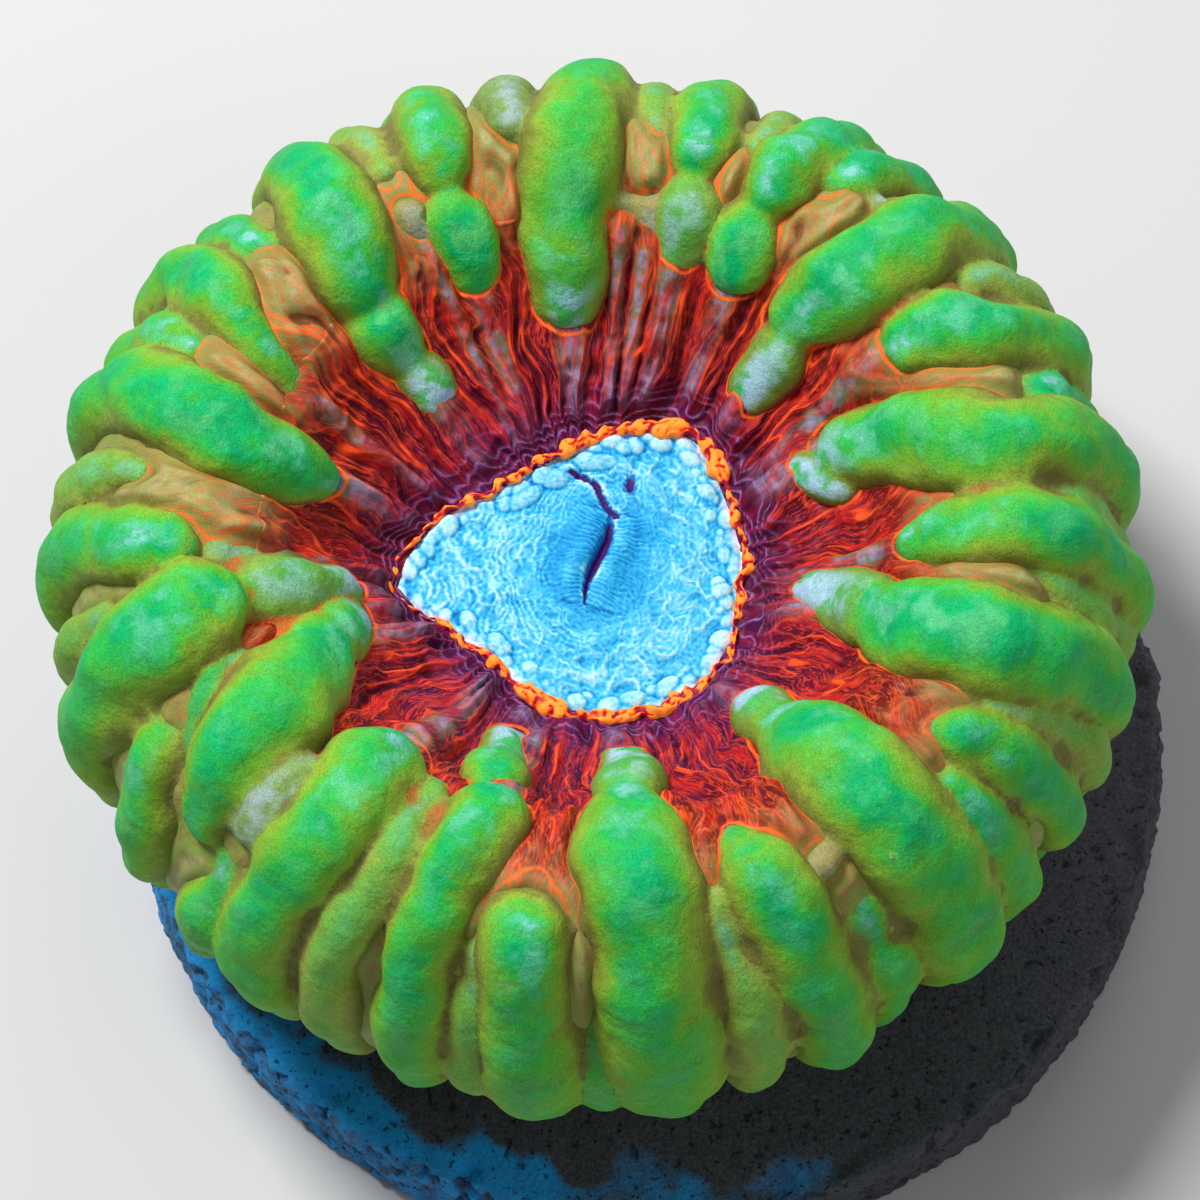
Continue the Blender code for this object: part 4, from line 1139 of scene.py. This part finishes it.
def edge_colour(shade, lobes, colour):
    """Inner ends with painted pale blue highlights, hollows with painted shade, and the lines where a
    lobe meets the skin or another lobe, dark outside as painted shade.
    """
    side = shade.mix(lobes.patch, (0.22, 0.14, 0.02), (0.10, 0.30, 0.03))
    # Painted highlight: pale blue clouds over the green on the crests of the lobes' inner ends.
    back = shade.mix(shade.ease(lobes.cloud, 0.42, 0.56), (0.05, 0.40, 0.12), (0.34, 0.50, 0.66))
    fringe = shade.mix(shade.ease(lobes.core, 0.70, 0.96), side, back)
    colour = shade.mix(shade.ease(lobes.reach, 24, 16, 0.0, 0.85), colour, fringe)
    # Painted shade: the hollows darken, to olive brown outside and red brown inside.
    deep = shade.ease(lobes.cavity, 0.05, 0.45)
    colour = shade.mix(shade.times(deep, 0.45), colour,
                       shade.mix(lobes.inner, (0.17, 0.16, 0.035), (0.36, 0.10, 0.02)))
    low = shade.times(shade.ease(lobes.rise, 0.9, 0.1), shade.ease(lobes.reach, 27, 20, 0.5, 0.95))
    olive = shade.mix(lobes.cloud, (0.19, 0.19, 0.045), (0.16, 0.25, 0.045))
    foot = shade.mix(shade.ease(lobes.reach, 26, 20), olive, (0.22, 0.012, 0.02))
    colour = shade.mix(low, colour, foot)
    # Crease lines: orange red inside is the flesh's own outline; the dark olive outside is painted
    # shade in the creases.
    colour = shade.mix(shade.ease(lobes.crease, 0.06, 0.14, 0.0, 0.7), colour,
                       shade.mix(lobes.inner, (0.13, 0.12, 0.03), (0.55, 0.07, 0.01)))
    return shade.mix(shade.ease(lobes.reach, 60, 72), colour, (0.11, 0.10, 0.03))


def lobe_material(grain):
    """Emerald crests, olive flanks, pale inner ends with painted highlights, orange where a lobe meets
    a fold, painted shade in hollows and furrows.
    """
    material, shade, finish = flesh_material("lobe_flesh", grain, 0.6, 0.08)
    lobes = lobe_marks(shade)
    colour = edge_colour(shade, lobes, kind_colour(shade, lobes, crest_colour(shade, lobes)))
    across = shade.node("ShaderNodeCombineXYZ", {"X": lobes.reach, "Y": shade.times(lobes.tone, 15.0)})
    crinkle = shade.noise(1.5, detail=0.0, vector=across.outputs[0])
    furrow_patches = shade.times(shade.ease(lobes.reach, 36, 48, 0.15, 1.0), shade.ease(lobes.broad, 0.45, 0.60))
    furrow = shade.times(shade.ease(crinkle, 0.56, 0.30), furrow_patches)
    # Painted shade: darker olive in the furrows' grooves.
    colour = shade.mix(shade.times(furrow, 0.22), colour, (0.17, 0.20, 0.035))
    relief = shade.math("MULTIPLY_ADD", furrow, -0.5, lobes.patch)
    finish(colour, relief, 0.16 * MM, strength=1.9)
    return material


FoldMarks = namedtuple("FoldMarks", "near reach moved past tail bead hug festoon cavity cloud patch "
                                    "streak fibre slope")


def fold_marks(shade):
    """What the skin's colours are mixed from. The red runs further out at the front, so there the
    colours read a distance moved inwards."""
    reach = shade.value("reach")
    flow = shade.node("ShaderNodeAttribute", attribute_name="flow").outputs["Vector"]
    spot = shade.node("ShaderNodeSeparateXYZ", {"Vector": shade.place()})
    moved = shade.math("ADD", reach, shade.ease(spot.outputs["Y"], 2 * MM, -14 * MM, 0.0, -7.0))
    cloud = shade.noise(2.4 * MM, detail=3.0)
    patch = shade.noise(0.8 * MM, detail=3.0, roughness=0.6)
    streak = shade.noise(0.55, detail=3.0, roughness=0.6, vector=flow)
    fibre = shade.noise(0.22, detail=2.0, roughness=0.6, vector=flow)
    return FoldMarks(shade.value("near"), reach, moved, shade.value("past_rim"), shade.value("tail"),
                     shade.value("bead"), shade.value("hug"), shade.value("festoon"),
                     shade.value("cavity"), cloud, patch, streak, fibre, shade.ease(moved, 31, 23))


def stripe(shade, name, half):
    """A thin line where a distance kept on the skin is nought."""
    return shade.ease(shade.math("ABSOLUTE", shade.value(name)), half, half * 0.3)


def ground_colour(shade, folds):
    """Violet at the hem, maroon to red on the slope, olive outside, with paler swollen beads, and
    painted shade where the slope's fold relief lies low.
    """
    place = shade.math("DIVIDE", shade.stir(folds.moved, folds.cloud, 9.0), 70.0)
    base = shade.ramp(place, ((0.14, (0.070, 0.006, 0.06)), (0.20, (0.10, 0.004, 0.03)),
                              (0.27, (0.15, 0.005, 0.014)), (0.33, (0.21, 0.014, 0.010)),
                              (0.37, (0.26, 0.08, 0.03)), (0.44, (0.25, 0.17, 0.06)),
                              (0.64, (0.19, 0.23, 0.055)), (0.90, (0.14, 0.19, 0.04))))
    # Painted shade: the slope darkens where its fold relief, the streak noise, lies low.
    dim = shade.times(shade.ease(folds.streak, 0.35, 0.65, 0.6, 0.0), folds.slope)
    base = shade.mix(dim, base, shade.mix(0.65, base, (0, 0, 0)))
    tan = shade.mix(folds.cloud, (0.32, 0.23, 0.080), (0.20, 0.30, 0.080))
    olive = shade.mix(folds.cloud, (0.24, 0.23, 0.07), (0.16, 0.27, 0.055))
    swollen = shade.mix(shade.ease(folds.reach, 34, 54), tan, olive)
    swollen = shade.mix(shade.ease(folds.patch, 0.45, 0.7, 0.0, 0.35), swollen, (0.40, 0.38, 0.26))
    beads = shade.times(shade.ease(folds.bead, 0.25, 0.8), shade.ease(folds.moved, 23, 29))
    return shade.mix(beads, base, swollen)


def tail_colour(shade, folds, base):
    """Mauve to green crests where the lobes' tails run in, with a painted pale blue highlight on their
    tops, and how bare of them the skin is.
    """
    mauve = shade.mix(folds.patch, (0.10, 0.030, 0.08), (0.20, 0.15, 0.24))
    greenish = shade.mix(folds.cloud, (0.18, 0.10, 0.05), (0.11, 0.23, 0.12))
    crest = shade.mix(shade.ease(folds.past, 3.5, 8.0), mauve, greenish)
    # Painted highlight: pale blue on the tops of the tails' ridges.
    blue = shade.times(shade.ease(folds.tail, 0.80, 0.97), shade.ease(folds.patch, 0.35, 0.6))
    crest = shade.mix(shade.times(blue, 0.8), crest, (0.26, 0.27, 0.46))
    on_tail = shade.times(shade.ease(folds.tail, 0.5, 0.95),
                          shade.ease(folds.cloud, 0.35, 0.6, 0.1, 0.8))
    colour = shade.mix(shade.times(on_tail, shade.ease(folds.past, 0.8, 5.0)), base, crest)
    return colour, shade.math("SUBTRACT", 1.0, shade.times(on_tail, 0.6))


def slope_colour(shade, folds, colour, bare):
    """Red glow along the folds, olive skirts round the lobes, and fine orange threads."""
    glow = shade.times(shade.ease(folds.streak, 0.46, 0.62), folds.slope)
    glow = shade.times(glow, shade.ease(folds.past, 1.5, 5.0, 0.2, 0.85))
    colour = shade.mix(shade.times(glow, bare), colour, (0.40, 0.012, 0.010))
    skirt = shade.times(shade.ease(folds.near, 1.5, 0.4), shade.ease(folds.moved, 24, 31))
    tan = shade.mix(folds.cloud, (0.25, 0.19, 0.055), (0.18, 0.27, 0.05))
    olive = shade.mix(folds.cloud, (0.20, 0.26, 0.05), (0.14, 0.28, 0.04))
    flank = shade.mix(shade.ease(folds.reach, 34, 46), tan, olive)
    colour = shade.mix(shade.times(skirt, 0.9), colour, flank)
    thread = shade.math("ABSOLUTE", shade.math("SUBTRACT", folds.fibre, 0.5))
    thread = shade.times(shade.ease(thread, 0.045, 0.012), shade.ease(folds.past, 2.0, 5.0))
    thread = shade.times(thread, shade.ease(folds.moved, 40, 23, 0.12, 0.6))
    rust = shade.mix(shade.ease(folds.reach, 26, 34), (0.66, 0.045, 0.015), (0.45, 0.15, 0.05))
    return shade.mix(shade.times(thread, bare), colour, rust)


def fold_lines(shade, folds, colour, bare):
    """Orange lines on the crests of the folds, and violet festoons on the hem."""
    sharp = shade.larger(stripe(shade, "fold_line", 0.19),
                         shade.times(stripe(shade, "pleat_line", 0.13), 0.8))
    sharp = shade.times(sharp, shade.ease(folds.past, 0.6, 5.0, 0.08, 1.0))
    sharp = shade.times(sharp, shade.ease(folds.cloud, 0.38, 0.60, 0.12, 0.95))
    sharp = shade.times(sharp, shade.ease(folds.streak, 0.35, 0.6, 0.4, 1.0))
    sharp = shade.times(sharp, shade.ease(folds.moved, 36, 27, 0.3, 1.0))
    hot = shade.mix(shade.ease(folds.past, 1.5, 7.0), (0.55, 0.03, 0.03), (0.88, 0.085, 0.012))
    hot = shade.mix(shade.ease(folds.moved, 28, 36), hot, (0.40, 0.14, 0.04))
    colour = shade.mix(shade.times(sharp, bare), colour, hot)
    festoons = shade.times(folds.festoon, shade.ease(folds.patch, 0.3, 0.6, 0.15, 0.8))
    return shade.mix(festoons, colour, (0.33, 0.15, 0.42))


def seam_lines(shade, folds, colour):
    """Thin warm seams between the beads, brighter ones round the lobes, and painted shade in the
    hollows.
    """
    warm = shade.mix(shade.ease(folds.reach, 28, 40), (0.66, 0.11, 0.02), (0.30, 0.10, 0.04))
    seams = shade.larger(stripe(shade, "bead_line", 0.17), stripe(shade, "mid_line", 0.15))
    seams = shade.times(seams, shade.ease(folds.patch, 0.3, 0.55, 0.25, 0.75))
    seams = shade.larger(seams, shade.times(folds.hug, shade.ease(folds.reach, 44, 32, 0.2, 0.5)))
    colour = shade.mix(shade.times(seams, shade.ease(folds.reach, 23, 28)), colour, warm)
    edge = shade.times(stripe(shade, "near", 0.19), shade.ease(folds.reach, 46, 30, 0.25, 1.0))
    edge = shade.times(edge, shade.ease(folds.cloud, 0.32, 0.55, 0.35, 1.0))
    bright = shade.mix(shade.ease(folds.reach, 30, 44), (0.85, 0.12, 0.012), warm)
    colour = shade.mix(edge, colour, bright)
    # Painted shade: the hollows darken to brown outside and near black maroon on the slope.
    hollow = shade.times(shade.ease(folds.cavity, 0.02, 0.16),
                         shade.ease(folds.reach, 48, 36, 0.3, 0.8))
    return shade.mix(hollow, colour,
                     shade.mix(folds.slope, (0.16, 0.070, 0.02), (0.030, 0.002, 0.010)))


def fold_material(grain):
    """Maroon to red inner slope with orange pleat lines, tan beads between the outer lobes."""
    material, shade, finish = flesh_material("fold_flesh", grain, 0.5, 0.10)
    folds = fold_marks(shade)
    colour, bare = tail_colour(shade, folds, ground_colour(shade, folds))
    colour = slope_colour(shade, folds, colour, bare)
    colour = seam_lines(shade, folds, fold_lines(shade, folds, colour, bare))
    finish(colour, folds.streak, 0.14 * MM)
    return material


def oral_material(grain):
    """Pale blue wrinkled flesh with painted shade: deeper blue in its hollows and round the mouth,
    dark violet in the slit.
    """
    material, shade, finish = flesh_material("oral_flesh", grain, 0.5, 0.12)
    slit, cavity, hollow = shade.value("slit"), shade.value("cavity"), shade.value("hollow")
    share = shade.value("share")
    cloud = shade.noise(1.8 * MM, detail=3.0)
    fine = shade.noise(0.30 * MM, detail=3.0, roughness=0.65, distortion=0.6)
    # Painted shade: the colour runs to deeper blue in the wrinkles, in broad hollows and round the
    # mouth.
    level = shade.math("MULTIPLY_ADD", cavity, -5.0, 0.60)
    level = shade.math("MULTIPLY_ADD", shade.value("mouth_shade"), -0.55, level)
    level = shade.math("MULTIPLY_ADD", hollow, -0.8, level)
    level = shade.stir(level, fine, 0.45)
    level = shade.stir(level, cloud, 0.60)
    colour = shade.ramp(level, ((0.05, (0.004, 0.13, 0.40)), (0.30, (0.010, 0.27, 0.58)),
                                (0.52, (0.045, 0.40, 0.68)), (0.72, (0.19, 0.52, 0.69)),
                                (0.95, (0.40, 0.66, 0.74))))
    # Painted shade in the mouth's slit, crack and blot: deep blue, then dark violet where they are
    # deepest.
    colour = shade.mix(shade.ease(slit, 0.03, 0.40, 0.0, 0.85), colour, (0.015, 0.12, 0.42))
    colour = shade.mix(shade.ease(slit, 0.35, 0.65), colour, (0.045, 0.008, 0.11))
    blush = shade.times(shade.ease(share, 0.91, 0.98), shade.ease(cloud, 0.4, 0.6))
    colour = shade.mix(shade.times(blush, 0.6), colour, (0.72, 0.40, 0.50))
    finish(colour, fine, 0.08 * MM)
    return material


def rim_material(grain):
    """Bright orange beads with red spots, deep red in their hollows as painted shade."""
    # The strongest painted glow of the flesh.
    material, shade, finish = flesh_material("rim_flesh", grain, 0.4, 0.30)
    cavity = shade.value("cavity")
    spots = shade.noise(0.45 * MM, detail=3.0, roughness=0.6)
    # Painted shade: the hollows push the colour down to deep red.
    level = shade.math("MULTIPLY_ADD", cavity, -6.0, spots)
    colour = shade.ramp(level, ((0.20, (0.22, 0.006, 0.02)), (0.40, (0.75, 0.03, 0.01)),
                                (0.55, (1.0, 0.11, 0.008)), (0.85, (1.0, 0.26, 0.03))))
    finish(colour, spots, 0.10 * MM)
    return material


def cement_material():
    """Dark slate cement with dark pores, painted blue light along the front left of its outer edge,
    bounded by the lobes' painted scalloped shadow, and a painted warmer tint to the right.
    """
    material = bpy.data.materials.new("cement")
    material.use_nodes = True
    shade = Shade(material.node_tree)
    shader = material.node_tree.nodes["Principled BSDF"]
    shader.inputs["Specular IOR Level"].default_value = 0.25
    pits, wall = shade.value("pits"), shade.value("wall")
    place = shade.node("ShaderNodeSeparateXYZ", {"Vector": shade.place()})
    cloud = shade.noise(6 * MM, detail=5.0, roughness=0.6)
    mottle = shade.noise(1.6 * MM, detail=3.0, roughness=0.6)
    grain = shade.noise(0.30 * MM, detail=3.0, roughness=0.7)
    pores = shade.noise(0.42 * MM, detail=2.0)
    slate = shade.mix(mottle, (0.020, 0.024, 0.032), (0.062, 0.066, 0.076))
    # Painted light: a side mask, highest at the front left for the blue light, lowest at the right.
    light_side = shade.math("ADD", shade.times(place.outputs["X"], -26.0),
                      shade.times(place.outputs["Y"], -9.0))
    light_side = shade.math("ADD", light_side, shade.math("MULTIPLY_ADD", cloud, 1.5, -0.35))
    spoke = shade.node("ShaderNodeCombineXYZ", {"X": place.outputs["X"], "Y": place.outputs["Y"]})
    out = shade.node("ShaderNodeVectorMath", {0: spoke.outputs[0]}, operation="LENGTH")
    out = out.outputs["Value"]
    # Painted shadow: the blue band's scalloped inner edge is where the lobes' shadow falls.
    scallop = shade.stir(out, shade.noise(5 * MM), 12 * MM)
    band = shade.ease(scallop, 32.8 * MM, 34.6 * MM)
    crumbs = shade.math("MULTIPLY_ADD", wall, shade.ease(mottle, 0.35, 0.62, -0.75, 0.0), 1.0)
    blue = shade.times(shade.times(shade.ease(light_side, 0.40, 0.95), band), crumbs)
    # Painted light: the right side tinted warmer.
    warm = shade.ease(light_side, 0.15, -0.55, 0.0, 0.6)
    colour = shade.mix(warm, slate, (0.075, 0.060, 0.085))
    colour = shade.mix(shade.ease(grain, 0.35, 0.7, 0.0, 0.6), colour,
                       shade.mix(0.4, colour, (0.22, 0.24, 0.27)))
    # Painted blue light on the crust along the front left edge.
    colour = shade.mix(blue, colour, shade.mix(grain, (0.003, 0.16, 0.50), (0.02, 0.46, 1.0)))
    # Dark pores are the cement's own; the darkening in the pits and holes is painted shade.
    dark = shade.larger(shade.ease(pores, 0.64, 0.72), shade.ease(pits, 0.3, 0.9, 0.0, 0.7))
    colour = shade.mix(shade.times(dark, 0.75), colour, (0.008, 0.009, 0.014))
    colour = shade.mix(shade.times(wall, 0.15), colour, (0.10, 0.10, 0.11))
    shade.put(shader.inputs["Base Color"], colour)
    shade.put(shader.inputs["Roughness"], shade.ease(grain, 0.3, 0.7, 0.75, 0.95))
    relief = shade.math("SUBTRACT", grain, dark)
    shade.put(shader.inputs["Normal"], shade.bump(relief, 1.0, 0.20 * MM))
    return material


def make_camera():
    """The camera at the photograph's tilt and distance."""
    data = bpy.data.cameras.new("camera")
    camera = bpy.data.objects.new("camera", data)
    bpy.context.collection.objects.link(camera)
    back = Vector((0, -math.cos(VIEW_TILT), math.sin(VIEW_TILT)))
    camera.location = VIEW_TARGET + back * VIEW_DISTANCE
    camera.rotation_euler = (-back).to_track_quat("-Z", "Y").to_euler()
    data.sensor_width = SENSOR
    data.lens = LENS
    data.clip_start = 0.01
    data.clip_end = 10
    bpy.context.scene.camera = camera


# Studio: floor's grey, surround's strength, and each soft light's place, side in metres and watts.
FLOOR_GREY = 0.52
SURROUND = 0.16
LIGHTS = (("key", (-0.22, 0.16, 0.52), 0.15, 4.5),
          ("fill", (0.40, -0.25, 0.40), 0.40, 0.8),
          ("back", (0.15, 0.50, 0.22), 0.30, 0.8))


def soft_light(name, place, size, power):
    """A square soft light aimed at the polyp."""
    data = bpy.data.lights.new(name, "AREA")
    data.size = size
    data.energy = power
    light = bpy.data.objects.new(name, data)
    bpy.context.collection.objects.link(light)
    light.location = Vector(place)
    light.rotation_euler = (VIEW_TARGET - light.location).to_track_quat("-Z", "Y").to_euler()


def make_studio():
    """Pale floor, soft lights and a dim even surround."""
    deselect()
    bpy.ops.mesh.primitive_plane_add(size=4)
    floor = named("floor")
    material = bpy.data.materials.new("pale_floor")
    material.use_nodes = True
    shader = material.node_tree.nodes["Principled BSDF"]
    shader.inputs["Base Color"].default_value = (FLOOR_GREY, FLOOR_GREY, FLOOR_GREY, 1)
    shader.inputs["Roughness"].default_value = 0.8
    floor.data.materials.append(material)
    for light in LIGHTS:
        soft_light(*light)
    world = bpy.data.worlds.new("surround")
    world.use_nodes = True
    surround = world.node_tree.nodes["Background"]
    surround.inputs["Color"].default_value = (0.95, 0.97, 1.0, 1)
    surround.inputs["Strength"].default_value = SURROUND
    bpy.context.scene.world = world
    bpy.context.scene.view_settings.view_transform = "Standard"


def dress(obj, material, slot, *nodes):
    """Give a piece its material, its body and the solids it stands for. The slot is not used."""
    obj.data.materials.clear()
    obj.data.materials.append(material)
    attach(obj, "root")
    if nodes:
        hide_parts(*nodes)


def main():
    """Camera, studio, then each piece with its finish."""
    make_camera()
    make_studio()
    grain = grain_group()
    dress(make_lobes(), lobe_material(grain), "coral_flesh", "coral")
    folds = fold_material(grain)
    dress(make_slope(), folds, "coral_flesh")
    dress(make_crown(), folds, "coral_flesh")
    dress(make_oral_disc(), oral_material(grain), "coral_flesh")
    dress(make_oral_rim(), rim_material(grain), "coral_flesh")
    dress(make_disc(), cement_material(), "disc_cement", "frag_disc")


main()
